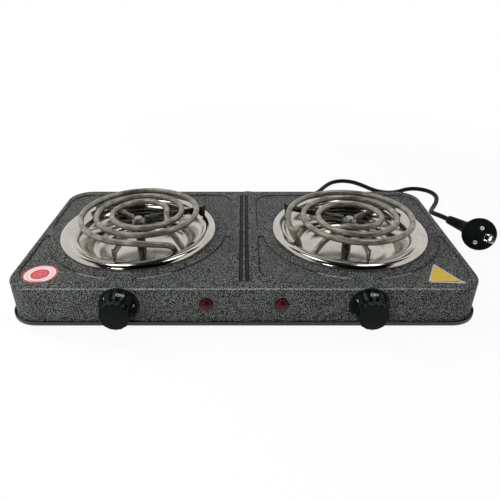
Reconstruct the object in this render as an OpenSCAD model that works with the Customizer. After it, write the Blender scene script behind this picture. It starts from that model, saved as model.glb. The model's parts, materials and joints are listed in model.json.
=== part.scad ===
/* [Casing] */
// Width of the casing, left to right
casing_w = 470; // [450:1:500]
// Depth of the casing, front to back
casing_d = 240; // [232:1:260]
// Height of the top plate above the table
top_z = 50; // [48:0.5:60]
// Radius of the casing's corners, seen from above
corner_r = 28; // [20:1:36]
// Radius of the bend between the top plate and the walls
bend_r = 3; // [2:0.5:5]
// Thickness of the steel sheet
sheet_t = 0.8; // [0.6:0.1:1]

/* [Pressed panels] */
// Depth of the pressed panels and grooves
press_depth = 1.2; // [0.8:0.1:1.6]
// Radius of the plain disc around a burner that the panels leave
press_r = 101; // [98:1:103]
// Gap between the pressed panels and the casing's side edge
press_side = 7; // [6:1:10]
// Gap between the pressed panels and the casing's front and back edges
press_front = 14; // [12:1:16]
// Half the plain strip between two neighbouring panels
press_gap = 12; // [9:1:15]
// Corner radius of the pressed panels
press_corner = 22; // [14:1:30]
// Distance of each centre groove from the middle line
groove_x = 3.2; // [2.8:0.1:4]
// Width of a centre groove
groove_w = 3; // [2:0.1:4]
// Distance of a groove's end from the casing's edge
groove_end = 12; // [10:1:20]

/* [Base and feet] */
// How far the base rim stands out past the casing
rim_out = 3; // [2.5:0.1:4]
// Height of the base rim
rim_h = 4; // [3:0.5:6]
// Height of the rubber feet
foot_h = 8; // [7:0.5:10]
// Radius of a foot
foot_r = 11; // [9:0.5:13]
// Distance of a foot from the casing's side
foot_inset_x = 45; // [36:1:60]
// Distance of a foot from the casing's front or back
foot_inset_y = 38; // [32:1:50]

/* [Burners] */
// Distance between the two burner centres
burner_pitch = 244; // [238:1:248]
// Outer radius of a drip pan
pan_r = 89.5; // [87:0.5:92]
// Height of the pan's rolled rim above the top plate
pan_crest = 6.5; // [5.5:0.5:7.5]
// Width of the rolled rim, from its outer edge to the bowl
pan_rim_w = 15; // [13:0.5:17]
// Depth of the bowl below the top plate
bowl_depth = 23; // [21:0.5:25]
// Thickness of the pan's sheet
pan_t = 0.6; // [0.5:0.1:0.8]

/* [Heating elements] */
// Diameter of the element's tube
tube_d = 6.5; // [6:0.1:7]
// Radius of the outer end of the spiral
coil_outer_r = 74.5; // [72.5:0.5:76]
// Radius of the inner end of the spiral
coil_inner_r = 26.5; // [25.5:0.5:29]
// Height of the element's top above the top plate
coil_rise = 25.5; // [24:0.5:27.5]
// Distance between the element's two leads
lead_gap = 16; // [14:0.5:18]

/* [Element supports] */
// Thickness of a support arm
arm_t = 1.4; // [1:0.1:2]
// Height of a support arm
arm_h = 7.5; // [6:0.5:8]
// Radius of the support's hub
hub_r = 8; // [7:0.5:10]

/* [Controls] */
// Height of the knob and lamp centres above the table
panel_z = 32.5; // [31.5:0.5:33.5]
// Radius of the knob's skirt
knob_r = 19.5; // [18:0.5:20]
// Length of a knob
knob_l = 22; // [20:0.5:25]
// Radius of the knob's fluted grip
grip_r = 15; // [14:0.1:15.5]
// Number of flutes around the grip
flutes = 16; // [12:1:20]
// Gap between the knob and the panel
knob_gap = 1; // [0.8:0.1:1.5]
// Diameter of the thermostat shaft
shaft_d = 6; // [5.5:0.1:6.5]
// Distance of a pilot lamp from the middle line
lamp_x = 37; // [30:1:45]
// Radius of the pilot lamp's lens
lamp_r = 6.2; // [5.8:0.1:6.8]

/* [Mains lead] */
// Height of the cord gland above the table
gland_z = 22; // [21:0.5:23]
// Length of the strain relief behind the casing
gland_l = 34; // [30:1:40]
// Diameter of the power cord
cord_d = 6.6; // [6:0.1:7.2]
// Radius of the plug's face
plug_r = 21; // [19:0.5:21.5]
// Length of the plug's strain relief, from the middle of its back
plug_neck = 53; // [53:1:60]

/* [Hidden] */
$fn = 64;

left = -1;
right = 1;
steel = "#8b8f92";
polished = "#d8d8d6";
brass = "#c9a54a";
ceramic = "#e8e2d4";
coat = "#4c504f";
black = "#161718";

// Clearances
slip = 0.3; // round things that must not touch
run_fit = 0.05; // shaft in its bush, per side
bolt_fit = 0.3; // bolt in its hole, per side
cut = 5; // how far a cutter runs past what it cuts

// Heights
floor_z = foot_h + sheet_t;
casing_h = top_z - floor_z;

// Plan positions
front_reach = knob_gap + knob_l;
casing_y = (front_reach - rim_out) / 2;
front_y = casing_y - casing_d / 2;
rear_y = casing_y + casing_d / 2;
burner_x = burner_pitch / 2;
press_middle = groove_x + groove_w / 2 + 9;
press_half_x = min(casing_w / 2 - burner_x - press_side, burner_x - press_middle);
press_half_y = casing_d / 2 - press_front;
press_soften = 0.6;

// Spiral and its leads, in the burner's own frame: x runs out along the leads
coil_z = coil_rise - tube_d / 2;
seat_z = coil_rise - tube_d - slip;
hub_top = seat_z - 3.5;
hub_low = seat_z - arm_h - 1;
fall_turn = 30; // turn over which the outer end sinks
fall_drop = 5;
under_s = 46; // where the inner lead passes below the turns
under_drop = 14.5;
under_shift = 0.5;
riser_in = 5.5; // how far inside the bowl's edge the outer lead rises
riser_shift = 3;
riser_z = 2;
block_s = 84;
block_l = 14;
block_w = 32;
lead_z = -15;
lead_in = 5;
coil_sides = 10;
left_coil = [-66, 5, -38]; // angles of the outer end, the inner end and the leads
right_coil = [-170, -108, -142];
left_lay = [6, 3.5]; // how far the spiral is set off, so that its outer turn lies over the pan's middle
right_lay = [2.5, -7];
left_arms = 22;
right_arms = 34;

// Drip pan
bowl_r = pan_r - pan_rim_w;
bowl_floor_r = bowl_r - 22;
crest_r = pan_r - pan_crest;
plate_hole_r = bowl_r + 2.5;
notch_s = bowl_r + 2;

// Fasteners
bolt_r = 2.5;
bolt_head_r = 5;
bolt_head_h = 3;
small_r = 2;
small_head_r = 3.5;
small_head_h = 2;
foot_recess = 3;
nut_h = 4;
strap_t = 1.2;
strap_w = 18;

// Thermostat, along its shaft from the panel's outer face
frame_t = 1.2;
bush_r = 5;
bush_out = 1.5;
bush_in = 4.5;
stack_x = 11;
stack_r = 5;
stack_start = sheet_t + frame_t;
first_blade = 9.6;
second_blade = 13.2;
stack_end = 16.8;
blade_t = 0.6;
fix_screw_z = 9;
skirt_h = 3;
cone_h = 10;
knob_wall = 2.2;
grip_round = 1.6;
flute_r = 2.4;
flute_depth = 1;

// Lamp
lens_wall = 0.8;
barrel_r = lamp_r - 1.3;
barrel_l = 8;

// Mains parts
gland_r = 7.5;
gland_neck_r = 6;
clamp_y = casing_d / 2 - 32;
mains_y = casing_d / 2 - 65;
cord_r = cord_d / 2;
cord_sides = 10;
cord_steps = 2;

// Plug: face centre, turn of the pins' direction and angle of the neck to the pins
plug_at = [300.8, 54.2, 22.2];
plug_turn = [0, 69.5, -118.8];
neck_angle = 125.5;
neck_roll = -101;
neck_back = 10;
pin_r = 2.4;
pin_l = 19;
pin_half_pitch = 9.5;

// Route of the power cord along its centre line, from the gland to the plug
cord_points = [
    [0, 164, 22], [0, 174, 22], [0, 185, 21], [3, 199, 17], [12, 212, 11], [25, 220, 6], [41, 222, 3.8],
    [59, 222, 3.5], [78, 222, 3.5], [95, 222.5, 3.5], [106, 225, 3.5], [115, 230, 3.5], [122, 238, 3.5],
    [131, 253, 3.5], [140, 266.5, 3.5], [152, 278.5, 3.5], [168, 283.5, 3.5], [184, 278.5, 3.5],
    [196, 266.5, 3.5], [207, 251, 3.5], [218, 239, 3.5], [232, 234, 3.5], [246, 236, 3.5],
    [257, 241.5, 3.5], [267, 247, 3.5], [278, 249.5, 3.5], [289, 247.5, 3.5], [298, 241.5, 3.5],
    [304, 232, 3.5], [305.5, 220, 3.5], [303, 208, 3.5], [297.5, 195, 3.5], [290, 181.5, 3.8],
    [282.5, 168.5, 4.8], [276.5, 156, 7], [273.5, 144.5, 10], [274.5, 133, 13], [278.6, 121.5, 14.9],
    [283.5, 110.6, 15.6]
];

function unit(v) = v / norm(v);

// Outline of a bent sheet of thickness t along the points p
function bend_side(p, i) =
    let (n = len(p), k = max(i, 1), m = min(i, n - 2),
        d1 = unit(p[k] - p[k - 1]), d2 = unit(p[m + 1] - p[m]),
        a = [-d1[1], d1[0]], b = [-d2[1], d2[0]])
    (a + b) / (1 + a * b);
function bent_sheet(p, t) = concat(
    [for (i = [0 : len(p) - 1]) p[i] + bend_side(p, i) * t / 2],
    [for (i = [len(p) - 1 : -1 : 0]) p[i] - bend_side(p, i) * t / 2]
);

// Points of a round arc
function arc_points(c, r, from, to, steps) =
    [for (i = [0 : steps]) let (a = from + (to - from) * i / steps) c + r * [cos(a), sin(a)]];

// Point of a smooth curve that leaves p along a and reaches q along b
function blend_point(p, a, q, b, u) =
    (2 * pow(u, 3) - 3 * pow(u, 2) + 1) * p + (pow(u, 3) - 2 * pow(u, 2) + u) * a
    + (3 * pow(u, 2) - 2 * pow(u, 3)) * q + (pow(u, 3) - pow(u, 2)) * b;

// Centre line through hand-set points, with a number of steps between two of them
function route(p, steps) =
    let (n = len(p), t = [for (i = [0 : n - 1]) (p[min(i + 1, n - 1)] - p[max(i - 1, 0)]) / ((i == 0 || i == n - 1) ? 1 : 2)])
    concat([for (i = [0 : n - 2], j = [0 : steps - 1]) blend_point(p[i], t[i], p[i + 1], t[i + 1], j / steps)], [p[n - 1]]);

function ring(c, dir, r, n) =
    let (side = unit(cross(dir, [0, 0, 1])), up = cross(side, dir))
    [for (k = [0 : n - 1]) c + r * (cos(360 * k / n) * side + sin(360 * k / n) * up)];

// Round tube along a path, closed at both ends
module swept_tube(path, r, n) {
    m = len(path);
    points = [for (i = [0 : m - 1]) each ring(path[i], unit(path[min(i + 1, m - 1)] - path[max(i - 1, 0)]), r, n)];
    sides = [for (i = [0 : m - 2], k = [0 : n - 1], next = (k + 1) % n)
        [i * n + k, i * n + next, (i + 1) * n + next, (i + 1) * n + k]];
    first = [for (k = [n - 1 : -1 : 0]) k];
    last = [for (k = [0 : n - 1]) (m - 1) * n + k];
    polyhedron(points, concat(sides, [first, last]), convexity = 8);
}

module soft_square(w, d, r) {
    square([w - 2 * r, d], center = true);
    square([w, d - 2 * r], center = true);
    for (x = [-1, 1], y = [-1, 1])
        translate([x * (w / 2 - r), y * (d / 2 - r)])
            circle(r = r);
}

// Half of a wall section with a round top corner
module wall_section(reach, h, b) {
    square([reach - b, h]);
    square([reach, h - b]);
    translate([reach - b, h - b])
        circle(r = b);
}

module full_section(reach, h, b) {
    wall_section(reach, h, b);
    mirror([1, 0])
        wall_section(reach, h, b);
}

// Box with round corners and a round edge along its top
module drawn_box(w, d, h, r, b) {
    translate([0, d / 2 - r, 0])
        rotate([90, 0, 0])
            linear_extrude(d - 2 * r)
                full_section(w / 2, h, b);
    translate([r - w / 2, 0, 0])
        rotate([90, 0, 90])
            linear_extrude(w - 2 * r)
                full_section(d / 2, h, b);
    for (x = [-1, 1], y = [-1, 1])
        translate([x * (w / 2 - r), y * (d / 2 - r), 0])
            rotate_extrude()
                wall_section(r, h, b);
}

module panels(grow) {
    difference() {
        soft_square(2 * (press_half_x + grow), 2 * (press_half_y + grow), press_corner);
        circle(r = press_r - grow);
        square([2 * (press_gap - grow), casing_d], center = true);
        square([casing_w, 2 * (press_gap - grow)], center = true);
    }
}

module grooves(grow) {
    groove_l = casing_d - 2 * groove_end - groove_w;
    for (x = [-groove_x, groove_x])
        translate([x, 0]) {
            square([groove_w + 2 * grow, groove_l], center = true);
            for (y = [-1, 1])
                translate([0, y * groove_l / 2])
                    circle(r = groove_w / 2 + grow);
        }
}

// All pressed shapes, from the plate's face z = 0 down to a depth
module pressings(grow, depth) {
    translate([0, 0, -depth])
        linear_extrude(depth) {
            grooves(grow / 2);
            for (x = [-burner_x, burner_x])
                translate([x, 0])
                    panels(grow);
        }
}

module at_casing(z) {
    translate([0, casing_y, z])
        children();
}

module at_burner(side) {
    translate([side * burner_x, casing_y, top_z])
        children();
}

// Local z runs out of the front panel, y up
module at_panel(x) {
    translate([x, front_y, panel_z])
        rotate([90, 0, 0])
            children();
}

// Local z runs out of the rear wall
module at_rear(x, z) {
    translate([x, rear_y, z])
        rotate([-90, 0, 0])
            children();
}

module at_feet() {
    for (x = [-1, 1], y = [-1, 1])
        translate([x * (casing_w / 2 - foot_inset_x), casing_y + y * (casing_d / 2 - foot_inset_y), 0])
            children();
}

// Tabs inside the casing's foot, where the base is screwed on
tab_w = 16;
tab_l = 12;
tab_inset = 90;
module at_tabs() {
    for (y = [-1, 1], x = [-1, 0, 1])
        translate([x * (casing_w / 2 - tab_inset), y * (casing_d / 2 - sheet_t - tab_l / 2), 0])
            children();
}

module casing() {
    color(coat)
        at_casing(floor_z)
            difference() {
                union() {
                    drawn_box(casing_w, casing_d, casing_h, corner_r, bend_r);
                    linear_extrude(sheet_t)
                        soft_square(casing_w + 2 * (rim_out - sheet_t - slip),
                            casing_d + 2 * (rim_out - sheet_t - slip), corner_r + rim_out - sheet_t - slip);
                }
                difference() {
                    translate([0, 0, -sheet_t])
                        drawn_box(casing_w - 2 * sheet_t, casing_d - 2 * sheet_t, casing_h,
                            corner_r - sheet_t, bend_r - sheet_t);
                    translate([0, 0, casing_h])
                        pressings(press_soften + sheet_t, press_depth + sheet_t);
                    at_tabs()
                        translate([-tab_w / 2, -tab_l / 2, -sheet_t])
                            cube([tab_w, tab_l, 2 * sheet_t]);
                }
                translate([0, 0, casing_h]) {
                    pressings(press_soften, press_depth / 2);
                    pressings(0, press_depth);
                }
                at_tabs()
                    translate([0, 0, -cut])
                        cylinder(r = small_r - 0.4, h = 2 * cut);
                for (x = [-burner_x, burner_x])
                    translate([x, 0, casing_h - cut])
                        cylinder(r = plate_hole_r, h = 2 * cut);
                translate([0, -casing_y, -floor_z]) {
                    for (x = [-burner_x, burner_x])
                        at_panel(x) {
                            translate([0, 0, -cut])
                                cylinder(r = bush_r + slip, h = 2 * cut);
                            for (y = [-1, 1])
                                translate([0, y * fix_screw_z, -cut])
                                    cylinder(r = small_r + bolt_fit, h = 2 * cut);
                        }
                    for (x = [-lamp_x, lamp_x])
                        at_panel(x)
                            translate([0, 0, -cut])
                                cylinder(r = barrel_r + slip, h = 2 * cut);
                    at_rear(0, gland_z)
                        translate([0, 0, -cut])
                            cylinder(r = gland_neck_r + slip, h = 2 * cut);
                }
            }
}

// Cooling slots in the base, one field below each burner
slot_count = 7;
slot_l = 46;
slot_w = 4;
slot_step = 14;
module base_plate() {
    color(black)
        difference() {
            at_casing(foot_h)
                difference() {
                    linear_extrude(rim_h)
                        soft_square(casing_w + 2 * rim_out, casing_d + 2 * rim_out, corner_r + rim_out);
                    translate([0, 0, sheet_t])
                        linear_extrude(rim_h)
                            soft_square(casing_w + 2 * (rim_out - sheet_t), casing_d + 2 * (rim_out - sheet_t),
                                corner_r + rim_out - sheet_t);
                    for (x = [-burner_x, burner_x], row = [-1, 1], i = [0 : slot_count - 1])
                        translate([x + (i - (slot_count - 1) / 2) * slot_step, row * slot_l * 0.7, -cut])
                            linear_extrude(2 * cut)
                                soft_square(slot_w, slot_l, slot_w / 2 - 0.01);
                    at_tabs()
                        translate([0, 0, -cut])
                            cylinder(r = small_r + bolt_fit, h = 2 * cut);
                }
            at_feet()
                cylinder(r = small_r + bolt_fit, h = floor_z + cut);
            for (x = [-1, 1])
                translate([x * clamp_screw_x, clamp_y + casing_y, 0])
                    cylinder(r = small_r + bolt_fit, h = floor_z + cut);
            translate([earth_x, mains_y + casing_y, 0])
                cylinder(r = small_r + bolt_fit, h = floor_z + cut);
        }
}

module foot() {
    color(black)
        difference() {
            rotate_extrude()
                polygon([[0, 0], [foot_r - 2.5, 0], [foot_r - 2, 0.5], [foot_r - 0.5, foot_h - 1],
                    [foot_r - 0.5, foot_h], [0, foot_h]]);
            translate([0, 0, -cut])
                cylinder(r = small_head_r + 1, h = foot_recess + small_head_h + cut);
            cylinder(r = small_r + bolt_fit, h = foot_h + cut);
        }
}

module one_foot(x, y) {
    translate([x * (casing_w / 2 - foot_inset_x), casing_y + y * (casing_d / 2 - foot_inset_y), 0])
        foot();
}

// Screw with its head below z = 0 and its shank above
module up_screw(r, l, head_r, head_h) {
    cylinder(r = r, h = l);
    translate([0, 0, -head_h])
        difference() {
            cylinder(r1 = head_r - 0.7, r2 = head_r, h = head_h);
            for (a = [0, 90])
                rotate([0, 0, a])
                    translate([-head_r * 0.6, -0.4, -1])
                        cube([head_r * 1.2, 0.8, 1.8]);
        }
}

module hex_nut(r, across, h) {
    difference() {
        cylinder(r = across / sqrt(3), h = h, $fn = 6);
        translate([0, 0, -1])
            cylinder(r = r + run_fit, h = h + 2);
    }
}

foot_head_z = foot_recess + small_head_h;
module foot_screws() {
    color(steel)
        at_feet()
            translate([0, 0, foot_head_z])
                up_screw(small_r, floor_z - foot_head_z + nut_h, small_head_r, small_head_h);
}

module foot_nuts() {
    color(steel)
        at_feet()
            translate([0, 0, floor_z])
                hex_nut(small_r, 7, nut_h - 0.8);
}

module base_screws() {
    color(steel)
        at_casing(foot_h)
            at_tabs()
                up_screw(small_r - 0.45, 6, small_head_r, small_head_h);
}

// Section of the pan's sheet, from its outer edge over the rolled rim to the middle
bowl_steps = 6;
module drip_pan(side) {
    half = pan_t / 2;
    lip = 0.5;
    roll_r = pan_crest - half - lip;
    wall_top = [bowl_r - 0.6, 0.6];
    wall_foot = [bowl_floor_r + 4, -bowl_depth + 3];
    lead_a = side == left ? left_coil[2] : right_coil[2];
    path = concat(
        [[pan_r - half, 0]],
        arc_points([crest_r + lip, lip], roll_r, 0, 90, 7),
        [[crest_r - 2.5, pan_crest - half - 0.5], [bowl_r + 2.2, pan_crest - half - 1.6],
            [bowl_r + 1, pan_crest - half - 2.2], [bowl_r + 0.3, pan_crest - half - 3.2]],
        [for (i = [0 : bowl_steps]) blend_point(wall_top, [-3, -18], wall_foot, [-22, -8], i / bowl_steps)],
        [[bowl_floor_r - 2, -bowl_depth + half + 0.4], [bowl_floor_r - 8, -bowl_depth + half],
            [bolt_r + bolt_fit, -bowl_depth + half]]
    );
    color(polished)
        at_burner(side)
            difference() {
                rotate_extrude($fn = 128)
                    polygon(bent_sheet(path, pan_t));
                rotate([0, 0, lead_a])
                    translate([bowl_floor_r - 4, -lead_gap / 2 - tube_d - 2, -bowl_depth + 4])
                        cube([notch_s - bowl_floor_r + 4, lead_gap + 2 * tube_d + 4, bowl_depth + pan_crest - 5.4]);
            }
}

// Centre line of an element: lead, spiral wound inwards, lead
function coil_path(ends, lay) =
    let (
        turn = ends[2],
        at = [lay[0] * cos(turn) + lay[1] * sin(turn), lay[1] * cos(turn) - lay[0] * sin(turn)],
        out_a = ends[0] - turn,
        in_a = ends[1] - turn,
        sweep = 1080 - (in_a - out_a),
        pitch_rate = (coil_outer_r - coil_inner_r) / sweep,
        turn_steps = round(sweep / 10),
        outer_tip = [block_s + lead_in, -lead_gap / 2, lead_z],
        outer_out = [block_s - 1, -lead_gap / 2, lead_z],
        inner_tip = [block_s + lead_in, lead_gap / 2, lead_z],
        inner_out = [block_s - 1, lead_gap / 2, lead_z],
        spiral = [for (i = [0 : turn_steps])
            let (t = sweep * i / turn_steps, r = coil_outer_r - pitch_rate * t, a = out_a - t,
                dip = max(0, 1 - t / fall_turn))
            [at[0] + r * cos(a), at[1] + r * sin(a), coil_z - fall_drop * pow(dip, 2)]],
        start = spiral[0],
        start_dir = unit(spiral[1] - spiral[0]),
        finish = spiral[turn_steps],
        finish_dir = unit(spiral[turn_steps] - spiral[turn_steps - 1]),
        riser = [bowl_r - riser_in, -lead_gap / 2 - riser_shift, riser_z],
        riser_dir = unit([0.1, -0.35, 0.93]),
        under = [under_s, lead_gap / 2 + under_shift, coil_z - under_drop],
        under_dir = unit([0.86, -0.2, -0.42])
    )
    concat(
        [outer_tip],
        [for (i = [0 : 4]) blend_point(outer_out, 26 * [-1, 0, 0], riser, 22 * riser_dir, i / 5)],
        [for (i = [0 : 5]) blend_point(riser, 26 * riser_dir, start, 26 * start_dir, i / 6)],
        spiral,
        [for (i = [1 : 7]) blend_point(finish, 34 * finish_dir, under, 20 * under_dir, i / 7)],
        [for (i = [1 : 5]) blend_point(under, 36 * under_dir, inner_out, 36 * [1, 0, 0], i / 5)],
        [inner_tip]
    );

module heating_coil(side) {
    ends = side == left ? left_coil : right_coil;
    color("#77756c")
        at_burner(side)
            rotate([0, 0, ends[2]])
                swept_tube(coil_path(ends, side == left ? left_lay : right_lay), tube_d / 2, coil_sides);
}

// Three arms on edge that carry the element, with a tube down to the pan
module support_arm() {
    low = seat_z - arm_h;
    foot_z = pan_crest - 1.3 + slip;
    arm_seat_r = bowl_r + pan_rim_w * 0.3;
    tip_r = coil_outer_r + tube_d / 2 + 1.2;
    rotate([90, 0, 0])
        translate([0, 0, -arm_t / 2])
            linear_extrude(arm_t)
                polygon([[hub_r - 1, low], [bowl_r - 3, low], [bowl_r, foot_z + 0.4], [arm_seat_r - 2, foot_z],
                    [arm_seat_r + 1, foot_z + 0.4], [arm_seat_r + 1, foot_z + 3], [tip_r + 2.4, seat_z - 1.5],
                    [tip_r + 2.4, seat_z + 1.4], [tip_r + 1.6, seat_z + 2.2], [tip_r + 0.4, seat_z + 2], [tip_r, seat_z],
                    [hub_r - 1, seat_z]]);
}

module coil_support(side) {
    first = side == left ? left_arms : right_arms;
    color("#8d8c86")
        at_burner(side)
            difference() {
                union() {
                    for (i = [0 : 2])
                        rotate([0, 0, first + 120 * i])
                            support_arm();
                    translate([0, 0, hub_low])
                        cylinder(r = hub_r, h = hub_top - hub_low);
                    translate([0, 0, pan_t - bowl_depth])
                        cylinder(r = hub_r - 2.5, h = bowl_depth + hub_low);
                }
                translate([0, 0, -bowl_depth - cut])
                    cylinder(r = bolt_r + bolt_fit, h = bowl_depth + seat_z + 2 * cut);
            }
}

strap_top = -bowl_depth;
module cross_strap(side) {
    mid = strap_top - strap_t / 2;
    top = -sheet_t - strap_t / 2;
    path = [[-plate_hole_r - 18, top], [-plate_hole_r - 6, top], [-bowl_r + 4, mid], [bowl_r - 4, mid],
        [plate_hole_r + 6, top], [plate_hole_r + 18, top]];
    color(steel)
        at_burner(side)
            difference() {
                rotate([90, 0, 0])
                    translate([0, 0, -strap_w / 2])
                        linear_extrude(strap_w)
                            polygon(bent_sheet(path, strap_t));
                translate([0, 0, strap_top - cut])
                    cylinder(r = bolt_r + bolt_fit, h = 2 * cut);
            }
}

nut_top = strap_top - strap_t;
bolt_tail = 1.5;
module centre_bolt(side) {
    bolt_l = hub_top - nut_top + nut_h + bolt_tail;
    color(steel)
        at_burner(side)
            translate([0, 0, nut_top - nut_h - bolt_tail])
                difference() {
                    union() {
                        cylinder(r = bolt_r, h = bolt_l);
                        translate([0, 0, bolt_l])
                            cylinder(r1 = bolt_head_r, r2 = bolt_head_r - 1, h = bolt_head_h);
                    }
                    translate([-bolt_head_r, -0.6, bolt_l + bolt_head_h - 1.4])
                        cube([2 * bolt_head_r, 1.2, 2]);
                }
}

module centre_nut(side) {
    color(steel)
        at_burner(side)
            translate([0, 0, nut_top - nut_h])
                hex_nut(bolt_r, 8, nut_h);
}

// Ceramic block under the top plate that holds an element's ends
module at_block(side) {
    lead_a = side == left ? left_coil[2] : right_coil[2];
    at_burner(side)
        rotate([0, 0, lead_a])
            translate([block_s, 0, 0])
                children();
}

module element_block(side) {
    low = lead_z - tube_d / 2 - 3;
    color(ceramic)
        at_block(side)
            difference() {
                translate([0, -block_w / 2, low])
                    cube([block_l, block_w, -sheet_t - low]);
                for (y = [-1, 1]) {
                    translate([-1, y * lead_gap / 2, lead_z])
                        rotate([0, 90, 0])
                            cylinder(r = tube_d / 2 + slip, h = lead_in + 1.5);
                    translate([block_l - 4, y * lead_gap / 2, lead_z])
                        rotate([0, 90, 0])
                            cylinder(r = small_r, h = cut);
                }
            }
}

module element_screws() {
    color(brass)
        for (side = [left, right])
            at_block(side)
                for (y = [-1, 1])
                    translate([block_l - 4, y * lead_gap / 2, lead_z])
                        rotate([0, 90, 0]) {
                            cylinder(r = small_r - run_fit, h = 4);
                            translate([0, 0, 4])
                                cylinder(r = small_head_r, h = small_head_h);
                        }
}

// Fluted knob, with its printed cone behind the grip
module knob(side) {
    tip = knob_gap + knob_l;
    cone_z = knob_gap + skirt_h;
    grip_z = cone_z + cone_h;
    hub_z = knob_gap + 2;
    color(black)
        at_panel(side * burner_x)
            difference() {
                rotate_extrude()
                    polygon(concat(
                        [[0, knob_gap], [knob_r - 0.4, knob_gap]],
                        arc_points([knob_r - 1.2, cone_z - 1.2], 1.2, 0, 90, 3),
                        [[grip_r + 3, cone_z], [grip_r + 0.5, grip_z - 0.6], [grip_r, grip_z]],
                        arc_points([grip_r - grip_round, tip - grip_round - 0.4], grip_round, 0, 85, 5),
                        [[grip_r * 0.4, tip - 0.1], [0, tip]]
                    ));
                for (i = [0 : flutes - 1])
                    rotate([0, 0, 360 * (i + 0.5) / flutes])
                        translate([grip_r + flute_r - flute_depth, 0, grip_z - 0.4])
                            cylinder(r = flute_r, h = knob_l, $fn = 24);
                difference() {
                    translate([0, 0, knob_gap - 1])
                        cylinder(r = grip_r + 3 - knob_wall, h = 6);
                    translate([0, 0, hub_z])
                        cylinder(r = shaft_d / 2 + knob_wall, h = 6);
                }
                shaft_shape(run_fit, 16 + run_fit);
            }
}

// Round shaft with a flat where the knob sits; z runs out of the panel
module shaft_shape(grow, out) {
    r = shaft_d / 2 + grow;
    difference() {
        translate([0, 0, 0.3 - first_blade])
            cylinder(r = r, h = out + first_blade - 0.3);
        translate([-shaft_d, r - 1.2, knob_gap + 3])
            cube([2 * shaft_d, shaft_d, knob_l]);
    }
}

module shaft(side) {
    color(steel)
        at_panel(side * burner_x)
            shaft_shape(0, 16 - slip);
}

module thermostat_frame(side) {
    color(steel)
        at_panel(side * burner_x)
            difference() {
                union() {
                    translate([-17, -12, -stack_start])
                        cube([34, 24, frame_t]);
                    translate([17 - frame_t, -7, -stack_end])
                        cube([frame_t, 14, stack_end - stack_start]);
                    translate([0, 0, -bush_in])
                        cylinder(r = bush_r, h = bush_in + bush_out);
                }
                translate([0, 0, -bush_in - cut])
                    cylinder(r = shaft_d / 2 + run_fit, h = bush_in + bush_out + 2 * cut);
                for (y = [-1, 1])
                    translate([0, y * fix_screw_z, -stack_start - cut])
                        cylinder(r = small_r + run_fit, h = 2 * cut);
                translate([-stack_x, 0, -stack_start - cut])
                    cylinder(r = rivet_r + run_fit, h = 2 * cut);
            }
}

rivet_r = 1.6;
// Ceramic rings between the blades
module insulators(side) {
    color(ceramic)
        at_panel(side * burner_x)
            translate([-stack_x, 0, 0])
                for (span = [[stack_start, first_blade], [first_blade + blade_t, second_blade],
                        [second_blade + blade_t, stack_end]])
                    translate([0, 0, -span[1]])
                        difference() {
                            cylinder(r = stack_r, h = span[1] - span[0]);
                            translate([0, 0, -1])
                                cylinder(r = rivet_r + run_fit, h = span[1] - span[0] + 2);
                        }
}

module contact_blades(side) {
    gap_between = second_blade - first_blade - blade_t;
    color(brass)
        at_panel(side * burner_x)
            difference() {
                union()
                    for (z = [first_blade, second_blade]) {
                        translate([-stack_x - 11, -4, -z - blade_t])
                            cube([stack_x + 22, 8, blade_t]);
                        translate([8, 0, z == first_blade ? -z - blade_t - gap_between * 0.4 : -z])
                            cylinder(r = 2, h = gap_between * 0.4);
                    }
                translate([-stack_x, 0, -stack_end])
                    cylinder(r = rivet_r + run_fit, h = stack_end);
            }
}

module stack_rivet(side) {
    color(steel)
        at_panel(side * burner_x)
            translate([-stack_x, 0, 0]) {
                translate([0, 0, -stack_end])
                    cylinder(r = rivet_r, h = stack_end - sheet_t - 0.2);
                translate([0, 0, -stack_end - 1])
                    cylinder(r = 2.6, h = 1);
            }
}

module thermostat_screws() {
    color(steel)
        for (side = [left, right], y = [-1, 1])
            at_panel(side * burner_x)
                translate([0, y * fix_screw_z, 0])
                    rotate([180, 0, 0])
                        up_screw(small_r, 6, small_head_r, small_head_h);
}

// Red lens: flange, dome and a hollow barrel through the panel
module lamp_lens(side) {
    dome_h = 3.2;
    color("#a3151d")
        at_panel(side * lamp_x)
            difference() {
                union() {
                    rotate_extrude()
                        polygon(concat([[0, 0], [lamp_r, 0], [lamp_r, 1]],
                            [for (i = [0 : 6]) [(lamp_r - 0.6) * cos(15 * i), 1 + dome_h * sin(15 * i)]]));
                    translate([0, 0, -barrel_l])
                        cylinder(r = barrel_r, h = barrel_l);
                }
                translate([0, 0, -barrel_l - cut])
                    cylinder(r = barrel_r - lens_wall, h = barrel_l + cut + 0.4);
            }
}

module neon_lamp(side) {
    color("#e0a060")
        at_panel(side * lamp_x) {
            translate([0, 0, -barrel_l - 6])
                cylinder(r = barrel_r, h = 6);
            translate([0, 0, -barrel_l])
                cylinder(r = 2.4, h = barrel_l - 2.6);
            translate([0, 0, -2.6])
                sphere(r = 2.4);
        }
}

module lamp_clip(side) {
    color(steel)
        at_panel(side * lamp_x)
            translate([0, 0, -sheet_t - 1])
                difference() {
                    cylinder(r = barrel_r + 3, h = 1);
                    translate([0, 0, -cut])
                        cylinder(r = barrel_r + run_fit, h = 2 * cut);
                    translate([-0.8, 0, -cut])
                        cube([1.6, barrel_r + cut, 2 * cut]);
                }
}

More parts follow.
